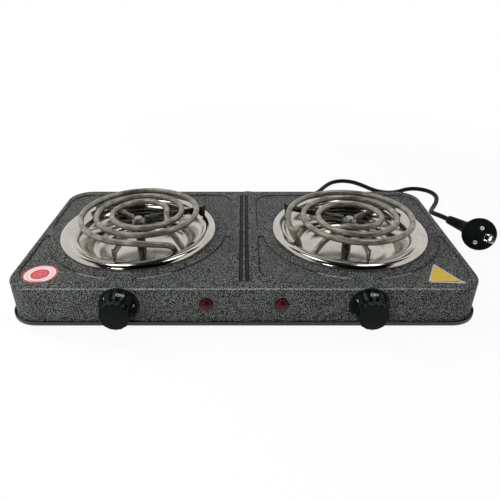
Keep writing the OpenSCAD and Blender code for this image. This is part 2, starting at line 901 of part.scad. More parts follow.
// Strain relief with its ribs outside and its collar inside the rear wall
module cord_gland() {
    ribs = 6;
    rib_step = (gland_l - 8) / ribs;
    end_r = cord_r + 1.2;
    color(black)
        at_rear(0, gland_z)
            rotate_extrude()
                polygon(concat(
                    [[0, -sheet_t - 2.5], [gland_r + 1, -sheet_t - 2.5], [gland_r + 1, -sheet_t],
                        [gland_neck_r, -sheet_t], [gland_neck_r, 0], [gland_r + 1.5, 0], [gland_r + 1.5, 2.5]],
                    [for (i = [0 : ribs - 1], k = [0 : 3])
                        let (z = 4 + (i + [0, 0.55, 0.55, 1][k]) * rib_step, r = gland_r + (end_r - gland_r) * z / gland_l)
                        [r - (k < 2 ? 0 : 1.1), z]],
                    [[end_r, gland_l - 4], [end_r, gland_l], [0, gland_l]]
                ));
}

clamp_l = 10;
module inner_cord() {
    color(black)
        translate([0, casing_y + mains_y + 14, gland_z])
            rotate([-90, 0, 0])
                cylinder(r = cord_r, h = casing_d / 2 - sheet_t - 2.5 - mains_y - 14);
}

clamp_screw_x = 12;
module cord_clamp() {
    color("#3a3a38")
        translate([0, casing_y + clamp_y, floor_z])
            difference() {
                translate([-clamp_screw_x - 6, -clamp_l / 2, 0])
                    cube([2 * clamp_screw_x + 12, clamp_l, gland_z + cord_r + 3 - floor_z]);
                translate([0, -clamp_l, gland_z - floor_z])
                    rotate([-90, 0, 0])
                        cylinder(r = cord_r + 0.1, h = 2 * clamp_l);
                for (x = [-1, 1])
                    translate([x * clamp_screw_x, 0, -1])
                        cylinder(r = small_r + run_fit, h = gland_z);
            }
}

module clamp_screws() {
    color(steel)
        for (x = [-1, 1])
            translate([x * clamp_screw_x, casing_y + clamp_y, foot_h])
                up_screw(small_r, 11, small_head_r, small_head_h);
}

// Mains terminal block on the base, with the cord ending at its face
mains_w = 34;
mains_l = 20;
mains_h = 17;
module mains_block() {
    color(ceramic)
        translate([0, casing_y + mains_y, floor_z])
            difference() {
                translate([-mains_w / 2, -mains_l / 2 + 4, 0])
                    cube([mains_w, mains_l, mains_h]);
                for (x = [-1, 0, 1])
                    translate([x * 11, 4, mains_h - 8])
                        cylinder(r = small_r + run_fit, h = 9);
            }
}

module mains_screws() {
    color(brass)
        for (x = [-1, 0, 1])
            translate([x * 11, casing_y + mains_y + 4, floor_z + mains_h - 7])
                difference() {
                    union() {
                        cylinder(r = small_r, h = 7);
                        translate([0, 0, 7])
                            cylinder(r = small_head_r, h = small_head_h);
                    }
                    translate([-cut, -0.4, 8])
                        cube([2 * cut, 0.8, 2]);
                }
}

earth_x = 32;
module earth_screw() {
    color(brass)
        translate([earth_x, casing_y + mains_y, 0]) {
            translate([0, 0, foot_h])
                up_screw(small_r, 8, small_head_r, small_head_h);
            translate([0, 0, floor_z])
                hex_nut(small_r, 7, nut_h);
        }
}

module power_cord() {
    color(black)
        swept_tube(route(cord_points, cord_steps), cord_r, cord_sides);
}

// Local z runs along the pins, x towards the neck
module at_plug() {
    translate(plug_at)
        rotate(plug_turn)
            rotate([0, 0, neck_roll])
                children();
}

module plug_body() {
    color(black)
        at_plug() {
            hull() {
                translate([0, 0, -7])
                    cylinder(r = plug_r, h = 6.4, $fn = 32);
                translate([0, 0, -0.01])
                    cylinder(r = plug_r - 0.8, h = 0.01, $fn = 32);
                translate([0, 0, -16])
                    cylinder(r = plug_r - 5, h = 1, $fn = 24);
                translate([2, 0, -21])
                    cylinder(r = plug_r - 11, h = 1, $fn = 24);
            }
            translate([0, 0, -neck_back])
                rotate([0, neck_angle, 0]) {
                    hull() {
                        cylinder(r = 10.5, h = 12, $fn = 24);
                        translate([0, 0, 24])
                            cylinder(r = 7.6, h = 1, $fn = 24);
                    }
                    translate([0, 0, 24])
                        cylinder(r1 = 7.6, r2 = cord_r + 2.4, h = plug_neck - 24);
                }
        }
}

module plug_pins() {
    color(polished)
        at_plug()
            for (y = [-1, 1])
                translate([0, y * pin_half_pitch, 0]) {
                    cylinder(r = pin_r, h = pin_l - 1);
                    translate([0, 0, pin_l - 1])
                        cylinder(r1 = pin_r, r2 = pin_r - 1, h = 1);
                }
}

// Earth contact: a metal frame round the socket hole, turned over the rim
module plug_earth_clip() {
    color(polished)
        at_plug()
            difference() {
                translate([-plug_r + 1.2, -5, 0])
                    cube([13, 10, 0.8]);
                translate([-10, 0, -1])
                    cylinder(r = 2.6, h = 3);
            }
}

casing();
base_plate();
one_foot(left, -1);  // front_left_foot
one_foot(right, -1);  // front_right_foot
one_foot(left, 1);  // rear_left_foot
one_foot(right, 1);  // rear_right_foot
foot_screws();
foot_nuts();
base_screws();
drip_pan(left);  // left_drip_pan
drip_pan(right);  // right_drip_pan
heating_coil(left);  // left_heating_coil
heating_coil(right);  // right_heating_coil
coil_support(left);  // left_coil_support
coil_support(right);  // right_coil_support
centre_bolt(left);  // left_centre_bolt
centre_bolt(right);  // right_centre_bolt
centre_nut(left);  // left_centre_nut
centre_nut(right);  // right_centre_nut
cross_strap(left);  // left_cross_strap
cross_strap(right);  // right_cross_strap
element_block(left);  // left_element_block
element_block(right);  // right_element_block
element_screws();
knob(left);  // left_knob
knob(right);  // right_knob
shaft(left);  // left_shaft
shaft(right);  // right_shaft
thermostat_frame(left);  // left_thermostat_frame
thermostat_frame(right);  // right_thermostat_frame
insulators(left);  // left_insulators
insulators(right);  // right_insulators
contact_blades(left);  // left_contact_blades
contact_blades(right);  // right_contact_blades
stack_rivet(left);  // left_stack_rivet
stack_rivet(right);  // right_stack_rivet
thermostat_screws();
lamp_lens(left);  // left_lamp_lens
lamp_lens(right);  // right_lamp_lens
neon_lamp(left);  // left_neon_lamp
neon_lamp(right);  // right_neon_lamp
lamp_clip(left);  // left_lamp_clip
lamp_clip(right);  // right_lamp_clip
cord_gland();
inner_cord();
cord_clamp();
clamp_screws();
mains_block();
mains_screws();
earth_screw();
power_cord();
plug_body();
plug_pins();
plug_earth_clip();
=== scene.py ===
import json
import math
from functools import partialmethod

import bmesh
import bpy
from mathutils import Matrix, Vector


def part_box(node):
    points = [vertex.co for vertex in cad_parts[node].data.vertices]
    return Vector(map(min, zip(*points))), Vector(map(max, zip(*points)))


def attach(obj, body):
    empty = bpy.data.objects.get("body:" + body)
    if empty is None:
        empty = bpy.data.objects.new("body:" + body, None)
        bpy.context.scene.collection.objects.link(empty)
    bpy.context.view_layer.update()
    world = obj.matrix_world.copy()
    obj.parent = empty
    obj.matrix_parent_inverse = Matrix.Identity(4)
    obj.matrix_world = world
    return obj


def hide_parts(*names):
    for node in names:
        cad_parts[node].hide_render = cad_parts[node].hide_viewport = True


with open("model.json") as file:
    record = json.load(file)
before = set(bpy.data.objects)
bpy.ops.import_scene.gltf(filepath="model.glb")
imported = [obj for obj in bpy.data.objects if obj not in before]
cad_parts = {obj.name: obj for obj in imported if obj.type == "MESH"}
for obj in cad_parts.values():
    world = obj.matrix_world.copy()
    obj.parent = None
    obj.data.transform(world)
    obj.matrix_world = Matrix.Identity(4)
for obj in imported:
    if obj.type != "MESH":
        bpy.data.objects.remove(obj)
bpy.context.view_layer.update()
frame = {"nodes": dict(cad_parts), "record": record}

mm = 0.001
chassis = "chassis"
nodes = frame["nodes"]
scene = bpy.context.scene
scene.view_settings.view_transform = "Standard"


def middleOf(node):
    low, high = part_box(node)
    return (low + high) / 2


# Places on the plate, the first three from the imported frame
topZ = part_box("casing")[1].z
centreY = middleOf("left_centre_bolt").y
burnerX = middleOf("right_centre_bolt").x
frontY = centreY - 120 * mm  # the front panel
panelZ = 32.5 * mm  # middle height of the knobs and the lamps


def addObject(name, data):
    thing = bpy.data.objects.new(name, data)
    scene.collection.objects.link(thing)
    return thing


cameraSetup = {"place": (0, -0.4958, 0.314), "pitch": 29.8, "lens": 35, "shiftX": 0.012}


def makeCamera():
    data = bpy.data.cameras.new("camera")
    data.lens = cameraSetup["lens"]
    data.shift_x = cameraSetup["shiftX"]
    camera = addObject("camera", data)
    camera.location = cameraSetup["place"]
    camera.rotation_euler = (math.radians(90 - cameraSetup["pitch"]), 0, 0)
    scene.camera = camera


makeCamera()
print("camera set")


class Signal:
    def __init__(self, finish, socket):
        self.finish = finish
        self.socket = socket

    def calc(self, operation, other=0):
        return self.finish.add("ShaderNodeMath", {"operation": operation}, {0: self, 1: other})

    __add__ = partialmethod(calc, "ADD")
    __sub__ = partialmethod(calc, "SUBTRACT")
    __mul__ = partialmethod(calc, "MULTIPLY")
    __truediv__ = partialmethod(calc, "DIVIDE")
    __lt__ = partialmethod(calc, "LESS_THAN")
    __gt__ = partialmethod(calc, "GREATER_THAN")
    size = partialmethod(calc, "ABSOLUTE")

    def part(self, axis):
        return self.finish.add("ShaderNodeSeparateXYZ", None, {0: self}, axis)


class Finish:
    def __init__(self, name, owner=None):
        self.material = owner or bpy.data.materials.new(name)
        self.material.use_nodes = True
        self.tree = self.material.node_tree
        self.tree.nodes.clear()

    def feed(self, socket, value):
        if isinstance(value, Signal):
            self.tree.links.new(value.socket, socket)
        else:
            socket.default_value = value

    def add(self, kind, settings=None, inputs=None, out=0):
        node = self.tree.nodes.new(kind)
        for key, value in (settings or {}).items():
            setattr(node, key, value)
        for key, value in (inputs or {}).items():
            self.feed(node.inputs[key], value)
        return Signal(self, node.outputs[out])

    def place(self, scale=(1, 1, 1), centre=(0, 0, 0)):
        coords = self.add("ShaderNodeTexCoord", None, None, "Object")
        shift = tuple(-c * s for c, s in zip(centre, scale))
        return self.add("ShaderNodeMapping", None, {"Vector": coords, "Location": shift, "Scale": scale})

    def length(self, vector):
        return self.add("ShaderNodeVectorMath", {"operation": "LENGTH"}, {0: vector}, "Value")

    def attribute(self, name):
        return self.add("ShaderNodeAttribute", {"attribute_name": name}, None, "Fac")

    def noise(self, size, detail=3, roughness=0.5, distortion=0):
        return self.add("ShaderNodeTexNoise", None, {"Vector": self.place(), "Scale": 1 / size,
            "Detail": detail, "Roughness": roughness, "Distortion": distortion})

    def cells(self, size, randomness=1):
        return self.add("ShaderNodeTexVoronoi", None,
            {"Vector": self.place(), "Scale": 1 / size, "Randomness": randomness}, "Distance")

    def ramp(self, value, stops):
        colours = self.add("ShaderNodeValToRGB", None, {"Fac": value})
        elements = colours.socket.node.color_ramp.elements
        while len(elements) < len(stops):
            elements.new(0.5)
        for element, (place, colour) in zip(elements, stops):
            element.position = place
            element.color = (*colour, 1)
        return colours

    def span(self, value, low, high, newLow=0, newHigh=1):
        return self.add("ShaderNodeMapRange", None, {0: value, 1: low, 2: high, 3: newLow, 4: newHigh})

    def blend(self, factor, first, second):
        first = (*first, 1) if isinstance(first, tuple) else first
        second = (*second, 1) if isinstance(second, tuple) else second
        return self.add("ShaderNodeMix", {"data_type": "RGBA"}, {0: factor, 6: first, 7: second}, 2)

    def bump(self, height, distance, strength=1):
        return self.add("ShaderNodeBump", None, {"Height": height, "Distance": distance, "Strength": strength})

    def surface(self, **values):
        # coatWeight names the socket Coat Weight, and so on
        inputs = {}
        for key, value in values.items():
            name = "".join(" " + c if c.isupper() else c for c in key)
            name = name[0].upper() + name[1:]
            name = {"Ior": "IOR", "Shine": "Specular IOR Level"}.get(name, name)
            inputs[name] = (*value, 1) if isinstance(value, tuple) else value
        return self.done(self.add("ShaderNodeBsdfPrincipled", None, inputs))

    def done(self, shader):
        output = self.tree.nodes.new("ShaderNodeOutputMaterial")
        self.tree.links.new(shader.socket, output.inputs["Surface"])
        return self.material


def hammeredCoat():
    look = {
        "vein": 0.9 * mm, "warp": 6 * mm, "cloud": 24 * mm, "grain": 0.5 * mm, "relief": 0.15 * mm,
        "valley": (0.0025, 0.003, 0.0028), "crest": (0.21, 0.223, 0.21), "patch": (0.03, 0.032, 0.03),
        # the next line's first colour is painted shade for the grooves and pressings, its second a painted
        # highlight
        "hollow": (0.003, 0.003, 0.003), "rubbed": (0.36, 0.37, 0.36),
        "grooveX": 3.2 * mm, "grooveFull": 1.5 * mm, "grooveEnd": 2.4 * mm, "grooveReach": 105 * mm,
        "grooveDeep": 3 * mm, "grooveShare": 0.7, "pressedShare": 0.75,
        "edgeAlong": -118.3 * mm, "edgeUp": -1.5 * mm, "arcRadius": 101.5 * mm, "arcHalf": 0.6 * mm,
        "arcAlong": -86 * mm, "arcFrom": 15 * mm, "arcTo": 48 * mm,
    }
    f = Finish("hammeredCoat")
    vein = f.noise(look["vein"], detail=1, distortion=0.3)
    warp = f.noise(look["warp"], detail=2)
    mask = f.span(vein + (warp - 0.5) * 0.05, 0.5, 0.56)
    tone = f.blend(mask, look["valley"], look["crest"])
    cloud = f.span(f.noise(look["cloud"], detail=2), 0.3, 0.7, 0, 0.25)
    tone = f.blend(cloud, tone, look["patch"])
    spot = f.place(centre=(0, centreY, topZ))
    side, along, up = (spot.part(axis) for axis in "XYZ")
    # painted shade: darker down in the two grooves and at the bottom of the pressed outlines, where shade falls
    offGroove = (side.size() - look["grooveX"]).size()
    groove = f.span(offGroove, look["grooveFull"], look["grooveEnd"], look["grooveShare"], 0)
    groove = groove * (along.size() < look["grooveReach"]) * (up.size() < look["grooveDeep"])
    tone = f.blend(groove + f.attribute("pressed") * look["pressedShare"], tone, look["hollow"])
    # painted highlights along the front top edge and on the arcs in front of each burner, where the bends catch
    # the light
    edge = (along < look["edgeAlong"]) * (up > look["edgeUp"]) * f.span(mask, 0, 1, 0.25, 0.9)
    offBurner = side.size() - burnerX
    away = (offBurner * offBurner + along * along).calc("SQRT")
    arc = ((away - look["arcRadius"]).size() < look["arcHalf"]) * (along < look["arcAlong"])
    arc = arc * (offBurner.size() > look["arcFrom"]) * (offBurner.size() < look["arcTo"])
    tone = f.blend(edge + arc * f.span(vein, 0.4, 0.6, 0.2, 0.8), tone, look["rubbed"])
    height = mask + f.noise(look["grain"], detail=2) * 0.2
    return f.surface(baseColor=tone, roughness=f.span(mask, 0, 1, 0.55, 0.4), shine=0.08,
        normal=f.bump(height, look["relief"]))


def satinCoat():
    f = Finish("satinCoat")
    grain = f.noise(0.5 * mm)
    wear = f.noise(14 * mm, detail=4)
    return f.surface(baseColor=f.blend(f.span(wear, 0.35, 0.7), (0.012, 0.012, 0.012), (0.022, 0.022, 0.021)),
        roughness=f.span(wear, 0.3, 0.7, 0.32, 0.5), normal=f.bump(grain, 0.03 * mm))


def polishedPan():
    look = {"steel": (0.52, 0.5, 0.455), "dull": (0.43, 0.415, 0.375)}
    f = Finish("polishedPan")
    smudge = f.noise(22 * mm, detail=4, roughness=0.6)
    grain = f.noise(0.5 * mm)
    return f.surface(baseColor=f.blend(f.span(smudge, 0.4, 0.75), look["steel"], look["dull"]), metallic=1,
        roughness=f.span(smudge, 0.3, 0.8, 0.1, 0.19), normal=f.bump(grain, 0.002 * mm, 0.5))


def elementSheath():
    look = {
        "sheath": (0.235, 0.226, 0.184), "heated": (0.108, 0.101, 0.078), "bright": (0.42, 0.408, 0.345),
        "sooty": (0.008, 0.008, 0.007), "metallic": 0.6,
    }
    f = Finish("elementSheath")
    cloud = f.noise(11 * mm, detail=4, roughness=0.6)
    scale = f.noise(1.2 * mm, detail=4, roughness=0.65)
    grain = f.noise(0.3 * mm)
    tone = f.ramp(cloud, [(0.3, look["heated"]), (0.52, look["sheath"]), (0.78, look["bright"])])
    tone = f.blend(f.span(scale, 0.5, 0.75, 0, 0.5), tone, look["heated"])
    # painted shade on the turns' undersides, as much as they face down
    tone = f.blend(f.span(f.attribute("under"), 0.1, 0.75, 0, 0.95), tone, look["sooty"])
    return f.surface(baseColor=tone, metallic=look["metallic"], roughness=f.span(scale, 0.3, 0.7, 0.24, 0.37),
        normal=f.bump(scale + grain * 0.5, 0.03 * mm))


def stampedSteel(name, tone, dark, low, high):
    # low and high are the ends of its roughness
    f = Finish(name)
    cloud = f.noise(9 * mm, detail=4, roughness=0.6)
    grain = f.noise(0.35 * mm)
    return f.surface(baseColor=f.blend(f.span(cloud, 0.35, 0.75), tone, dark), metallic=1,
        roughness=f.span(cloud, 0.3, 0.7, low, high), normal=f.bump(grain, 0.012 * mm))


def mouldedPlastic(name, tone, worn, low, high, pebble=0.4, shine=0.25):
    f = Finish(name)
    cloud = f.noise(8 * mm)
    grain = f.noise(pebble * mm)
    return f.surface(baseColor=f.blend(f.span(cloud, 0.35, 0.75), tone, worn),
        roughness=f.span(cloud, 0.3, 0.7, low, high), shine=shine, normal=f.bump(grain, 0.02 * mm))


def firedCeramic():
    f = Finish("firedCeramic")
    cloud = f.noise(6 * mm)
    pits = f.cells(0.8 * mm)
    return f.surface(baseColor=f.blend(f.span(cloud, 0.3, 0.7), (0.75, 0.71, 0.62), (0.66, 0.61, 0.52)),
        roughness=f.span(pits, 0, 0.7, 0.75, 0.55), normal=f.bump(pits, 0.03 * mm))


def redLens():
    f = Finish("redLens")
    facet = f.cells(1.6 * mm, randomness=0.5)
    tone = f.blend(f.span(facet, 0.1, 0.6), (0.12, 0.003, 0.01), (0.015, 0.001, 0.002))
    return f.surface(baseColor=tone, roughness=0.3, shine=0.15, coatWeight=0.15, coatRoughness=0.12,
        normal=f.bump(facet, 0.3 * mm, 0.5))


def clearGlass():
    f = Finish("clearGlass")
    film = f.noise(3 * mm, detail=2)
    return f.surface(baseColor=(0.95, 0.75, 0.6), roughness=f.span(film, 0, 1, 0.03, 0.12),
        transmissionWeight=0.9, ior=1.45)


finishes = {
    "hammered_coat": hammeredCoat(),
    "base_coat": satinCoat(),
    "foot_rubber": mouldedPlastic("footRubber", (0.014, 0.014, 0.014), (0.024, 0.023, 0.022), 0.6, 0.8, 0.8),
    "zinc_steel": stampedSteel("zincSteel", (0.56, 0.55, 0.52), (0.4, 0.39, 0.36), 0.25, 0.4),
    "polished_pan": polishedPan(),
    "element_sheath": elementSheath(),
    "support_steel": stampedSteel("supportSteel", (0.25, 0.245, 0.222), (0.11, 0.106, 0.094), 0.2, 0.34),
    "white_ceramic": firedCeramic(),
    "brass": stampedSteel("plainBrass", (0.68, 0.48, 0.2), (0.45, 0.3, 0.12), 0.25, 0.4),
    "knob_plastic": mouldedPlastic("knobPlastic", (0.002, 0.003, 0.003), (0.004, 0.006, 0.006),
        0.12, 0.2, shine=0.09),
    "red_lens": redLens(),
    "neon_glass": clearGlass(),
    "cord_plastic": mouldedPlastic("cordPlastic", (0.003, 0.0048, 0.0046), (0.006, 0.009, 0.0088),
        0.4, 0.55, shine=0.07),
    "markInk": mouldedPlastic("markInk", (0.55, 0.55, 0.52), (0.4, 0.4, 0.38), 0.5, 0.6),
    "plated_contact": stampedSteel("platedContact", (0.74, 0.73, 0.69), (0.55, 0.54, 0.5), 0.14, 0.28),
}
print("finishes made")


for part in frame["record"]["subparts"]:
    mesh = nodes[part["node"]].data
    mesh.materials.clear()
    mesh.materials.append(finishes[part["material_slot"]])


def finishPiece(piece, slotName, replaced=(), sharpAngle=40, body=chassis):
    mesh = piece.data
    mesh.shade_smooth()
    mesh.set_sharp_from_angle(angle=math.radians(sharpAngle))
    if not mesh.materials:
        mesh.materials.append(finishes[slotName])
    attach(piece, body)
    if replaced:
        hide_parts(*replaced)
    return piece


def newPiece(name, points, faces):
    mesh = bpy.data.meshes.new(name)
    mesh.from_pydata([tuple(p) for p in points], [], faces)
    return addObject(name, mesh)


def tidyMesh(piece, outward=True):
    bm = bmesh.new()
    bm.from_mesh(piece.data)
    bmesh.ops.remove_doubles(bm, verts=bm.verts, dist=0.001 * mm)
    if outward:
        bmesh.ops.recalc_face_normals(bm, faces=bm.faces)
    bm.to_mesh(piece.data)
    bm.free()
    return piece


def applyModifiers(piece):
    bpy.context.view_layer.update()
    graph = bpy.context.evaluated_depsgraph_get()
    mesh = bpy.data.meshes.new_from_object(piece.evaluated_get(graph))
    piece.modifiers.clear()
    if piece.type == "MESH":
        piece.data = mesh
        return piece
    name = piece.name
    bpy.data.objects.remove(piece)
    return addObject(name, mesh)


def lathe(name, outline, steps, place, radius=None):
    # outline: (radius, height) pairs turned about z, up the outside and in over the top
    points = []
    faces = []
    count = len(outline)
    for s in range(steps):
        a = 2 * math.pi * s / steps
        n = (s + 1) % steps
        for r, h in outline:
            r = radius(r, h, a) if radius else r
            points.append((r * math.cos(a), r * math.sin(a), h))
        here, there = s * count, n * count
        faces += [(here + i, there + i, there + i + 1, here + i + 1) for i in range(count - 1)]
    piece = newPiece(name, points, faces)
    piece.data.transform(place)
    return tidyMesh(piece, outward=False)


def smoothCopy(node, name, slotName, sharpAngle, soft=0):
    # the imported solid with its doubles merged, so that its rounds shade smoothly
    piece = addObject(name, nodes[node].data.copy())
    tidyMesh(piece, outward=False)
    if soft:  # edges turning more than 50 degrees are rounded by this much
        edges = piece.modifiers.new("edges", "BEVEL")
        edges.width = soft * mm
        edges.segments = 2
        edges.limit_method = "ANGLE"
        edges.angle_limit = math.radians(50)
        applyModifiers(piece)
    return finishPiece(piece, slotName, [node], sharpAngle)


def blendCurve(start, startPull, end, endPull, steps):
    # a smooth curve that leaves along one pull and arrives along the other, without its last point
    start, startPull, end, endPull = (Vector(v) for v in (start, startPull, end, endPull))
    points = []
    for i in range(steps):
        u = i / steps
        points.append(start * (2 * u**3 - 3 * u**2 + 1) + startPull * (u**3 - 2 * u**2 + u)
            + end * (3 * u**2 - 2 * u**3) + endPull * (u**3 - u**2))
    return points


def flatArc(centre, radius, low, high, steps):
    angles = [math.radians(low + (high - low) * i / steps) for i in range(steps + 1)]
    return [(centre[0] + radius * math.cos(a), centre[1] + radius * math.sin(a)) for a in angles]


def atBurner(side, turn=0):
    # a burner's own frame in millimetres: z up from the top plate, x turned to its leads
    place = Matrix.Translation((side * burnerX, centreY, topZ))
    return place @ Matrix.Rotation(math.radians(turn), 4, "Z") @ Matrix.Scale(mm, 4)


def atPanel(x):
    # local z runs out of the front panel, y up
    place = Matrix.Translation((x, frontY, panelZ))
    return place @ Matrix.Rotation(math.radians(90), 4, "X") @ Matrix.Scale(mm, 4)


# A section swept along a path, as Geometry Nodes
def sweepTree():
    tree = bpy.data.node_groups.new("sweptTube", "GeometryNodeTree")
    for name, kind in (("Path", "Geometry"), ("Radius", "Float"), ("Sides", "Int"), ("Finish", "Material")):
        tree.interface.new_socket(name=name, in_out="INPUT", socket_type="NodeSocket" + kind)
    tree.interface.new_socket(name="Tube", in_out="OUTPUT", socket_type="NodeSocketGeometry")
    given, made = (tree.nodes.new(kind) for kind in ("NodeGroupInput", "NodeGroupOutput"))
    section, sweep, real, dress = (tree.nodes.new("GeometryNode" + kind)
        for kind in ("CurvePrimitiveCircle", "CurveToMesh", "RealizeInstances", "SetMaterial"))
    sweep.inputs["Fill Caps"].default_value = True
    joins = [(given, "Radius", section, "Radius"), (given, "Sides", section, "Resolution"),
        (given, "Path", sweep, "Curve"), (section, "Curve", sweep, "Profile Curve"),
        (sweep, "Mesh", real, "Geometry"), (real, "Geometry", dress, "Geometry"),
        (given, "Finish", dress, "Material"), (dress, "Geometry", made, "Tube")]
    for source, out, target, into in joins:
        tree.links.new(source.outputs[out], target.inputs[into])
    return tree


tubeTree = sweepTree()


def sweptTube(name, path, radius, sides, slotName):
    curve = bpy.data.curves.new(name, "CURVE")
    curve.dimensions = "3D"
    spline = curve.splines.new("POLY")
    spline.points.add(len(path) - 1)
    for knot, p in zip(spline.points, path):
        knot.co = (*p, 1)
    piece = addObject(name, curve)
    sweep = piece.modifiers.new("sweep", "NODES")
    sweep.node_group = tubeTree
    values = {"Radius": radius, "Sides": sides, "Finish": finishes[slotName]}
    for item in tubeTree.interface.items_tree:
        if item.name in values:
            sweep[item.identifier] = values[item.name]
    return tidyMesh(applyModifiers(piece))


def meshPiece(name, bm):
    mesh = bpy.data.meshes.new(name)
    bm.to_mesh(mesh)
    bm.free()
    return addObject(name, mesh)


def joinPieces(name, parts):
    bm = bmesh.new()
    for part in parts:
        bm.from_mesh(part.data)
        bpy.data.objects.remove(part)
    return meshPiece(name, bm)


plugLook = {
    "place": (300.8, 54.2, 22.2), "turn": (0, 69.5, -118.8), "roll": -101,
    "radius": 20.7, "back": [(0, -22), (5, -22)], "sideEnd": -2, "rimRound": 1, "headSteps": 96,
    # the back's rounding: from its flat, and to the straight side
    "backFrom": ((9, -21.6), (7, 1.6)), "backTo": (-7.5, (0.5, 14)),
    # the face: in from the side and down from the rim
    "face": [(2.4, 0), (2.9, 0.15), (3.2, 0.6), (5, 0.6)],
    "neckBack": 10, "neckAngle": 125.5, "neck": 53, "neckSteps": 64,
    # radius and height of the boot's plain part, then of its rings
    "collar": [(0, 2), (10.5, 2), (10.5, 12), (9.9, 15), (8.6, 20), (7.7, 25)],
    "ringStart": 27, "ringEnd": 4, "ringRadius": 7.6, "rings": 6, "ringDeep": 1, "ringShare": 0.42,
    "ringBevel": 0.4,
    "tip": 5.7, "mouth": [(-0.2, 4), (0, 1), (0.6, 0.2), (2.3, 0)],
    "pinRadius": 2.4, "pinLength": 19, "pinHalf": 9.5, "pinRoot": -0.5, "pinSteps": 40,
    # the pin's end: in from its side and back from its tip
    "pinTip": [(0, 1.2), (0.4, 0.4), (1, 0), (1.3, 0), (1.3, 2)],
}


def atPlug(extra=None):
    look = plugLook
    place = Matrix.Translation([c * mm for c in look["place"]])
    for axis, angle in zip("ZYX", reversed(look["turn"])):
        place = place @ Matrix.Rotation(math.radians(angle), 4, axis)
    place = place @ Matrix.Rotation(math.radians(look["roll"]), 4, "Z") @ Matrix.Scale(mm, 4)
    return place @ extra if extra else place


def headOutline(look):
    # round back, straight side, and a face set in behind its rim
    r, rim = look["radius"], look["rimRound"]
    sideStart, sidePull = look["backTo"]
    back = blendCurve(*look["backFrom"], (r, sideStart), sidePull, 12)
    return (look["back"] + [tuple(p) for p in back] + [(r, look["sideEnd"])]
        + flatArc((r - rim, -rim), rim, 0, 90, 5) + [(r - x, -z) for x, z in look["face"]]
        + [(0, -look["face"][-1][1])])


def bootOutline(look):
    # tapered sleeve with rings cut round it
    shape = list(look["collar"])
    first, end, bevel = look["ringStart"], look["neck"], look["ringBevel"]
    taperStart = shape[-1][1]
    step = (end - look["ringEnd"] - first) / look["rings"]
    for i in range(look["rings"]):
        z = first + i * step
        r = look["ringRadius"] + (look["tip"] - look["ringRadius"]) * (z - taperStart) / (end - taperStart)
        low, high = z + bevel, z + step * look["ringShare"]
        shape += [(r, z), (r - look["ringDeep"], low), (r - look["ringDeep"], high), (r - 0.1, high + bevel)]
    return shape + [(look["tip"] - x, end - z) for x, z in look["mouth"]] + [(0, end)]


def makePin(y):
    look = plugLook
    r, tip = look["pinRadius"], look["pinLength"]
    outline = [(0, look["pinRoot"]), (r, look["pinRoot"])] + [(r - x, tip - z) for x, z in look["pinTip"]]
    outline.append((0, outline[-1][1]))
    return lathe("pin", outline, look["pinSteps"], atPlug(Matrix.Translation((0, y, 0))))


def makePlug():
    look = plugLook
    head = lathe("head", headOutline(look), look["headSteps"], atPlug())
    lean = Matrix.Rotation(math.radians(look["neckAngle"]), 4, "Y")
    neck = Matrix.Translation((0, 0, -look["neckBack"])) @ lean
    boot = lathe("boot", bootOutline(look), look["neckSteps"], atPlug(neck))
    body = finishPiece(joinPieces("plugShell", [head, boot]), "cord_plastic", ["plug_body"])
    pins = joinPieces("pins", [makePin(-look["pinHalf"]), makePin(look["pinHalf"])])
    finishPiece(pins, "plated_contact", ["plug_pins"])
    clip = smoothCopy("plug_earth_clip", "earthClip", "plated_contact", sharpAngle=35, soft=0.2)
    return [body, pins, clip]


cordLook = {
    "diameter": 6.6 * mm, "length": 0.5385, "bevelSteps": 5, "curveSteps": 8,
    "points": [
        (0, 164, 22), (0, 174, 22), (0, 185, 21), (3, 199, 17), (12, 212, 11), (25, 220, 6), (41, 222, 3.8),
        (59, 222, 3.5), (78, 222, 3.5), (95, 222.5, 3.5), (106, 225, 3.5), (115, 230, 3.5), (122, 238, 3.5),
        (131, 253, 3.5), (140, 266.5, 3.5), (152, 278.5, 3.5), (168, 283.5, 3.5), (184, 278.5, 3.5),
        (196, 266.5, 3.5), (207, 251, 3.5), (218, 239, 3.5), (232, 234, 3.5), (246, 236, 3.5),
        (257, 241.5, 3.5), (267, 247, 3.5), (278, 249.5, 3.5), (289, 247.5, 3.5), (298, 241.5, 3.5),
        (304, 232, 3.5), (305.5, 220, 3.5), (303, 208, 3.5), (297.5, 195, 3.5), (290, 181.5, 3.8),
        (282.5, 168.5, 4.8), (276.5, 156, 7), (273.5, 144.5, 10), (274.5, 133, 13), (278.6, 121.5, 14.9),
        (283.5, 110.6, 15.6),
    ],
}


def makeCord(withPieces):
    points = [Vector(p) * mm for p in cordLook["points"]]
    curve = bpy.data.curves.new("powerCord", "CURVE")
    curve.dimensions = "3D"
    curve.bevel_depth = cordLook["diameter"] / 2
    curve.bevel_resolution = cordLook["bevelSteps"]
    curve.resolution_u = cordLook["curveSteps"]
    curve.use_fill_caps = True
    spline = curve.splines.new("BEZIER")
    last = len(points) - 1
    spline.bezier_points.add(last)
    for i, (knot, p) in enumerate(zip(spline.bezier_points, points)):
        before = points[max(i - 1, 0)]
        after = points[min(i + 1, last)]
        reach = (after - before) / (3 if i in (0, last) else 6)  # a third of the way to each neighbour
        knot.co = p
        knot.handle_left = p - reach
        knot.handle_right = p + reach
    curve.materials.append(finishes["cord_plastic"])
    piece = addObject("powerCord", curve)
    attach(piece, chassis)
    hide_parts("power_cord")


gland = smoothCopy("cord_gland", "gland", "cord_plastic", sharpAngle=45)
makeCord(makePlug() + [gland])
print("mains lead made")


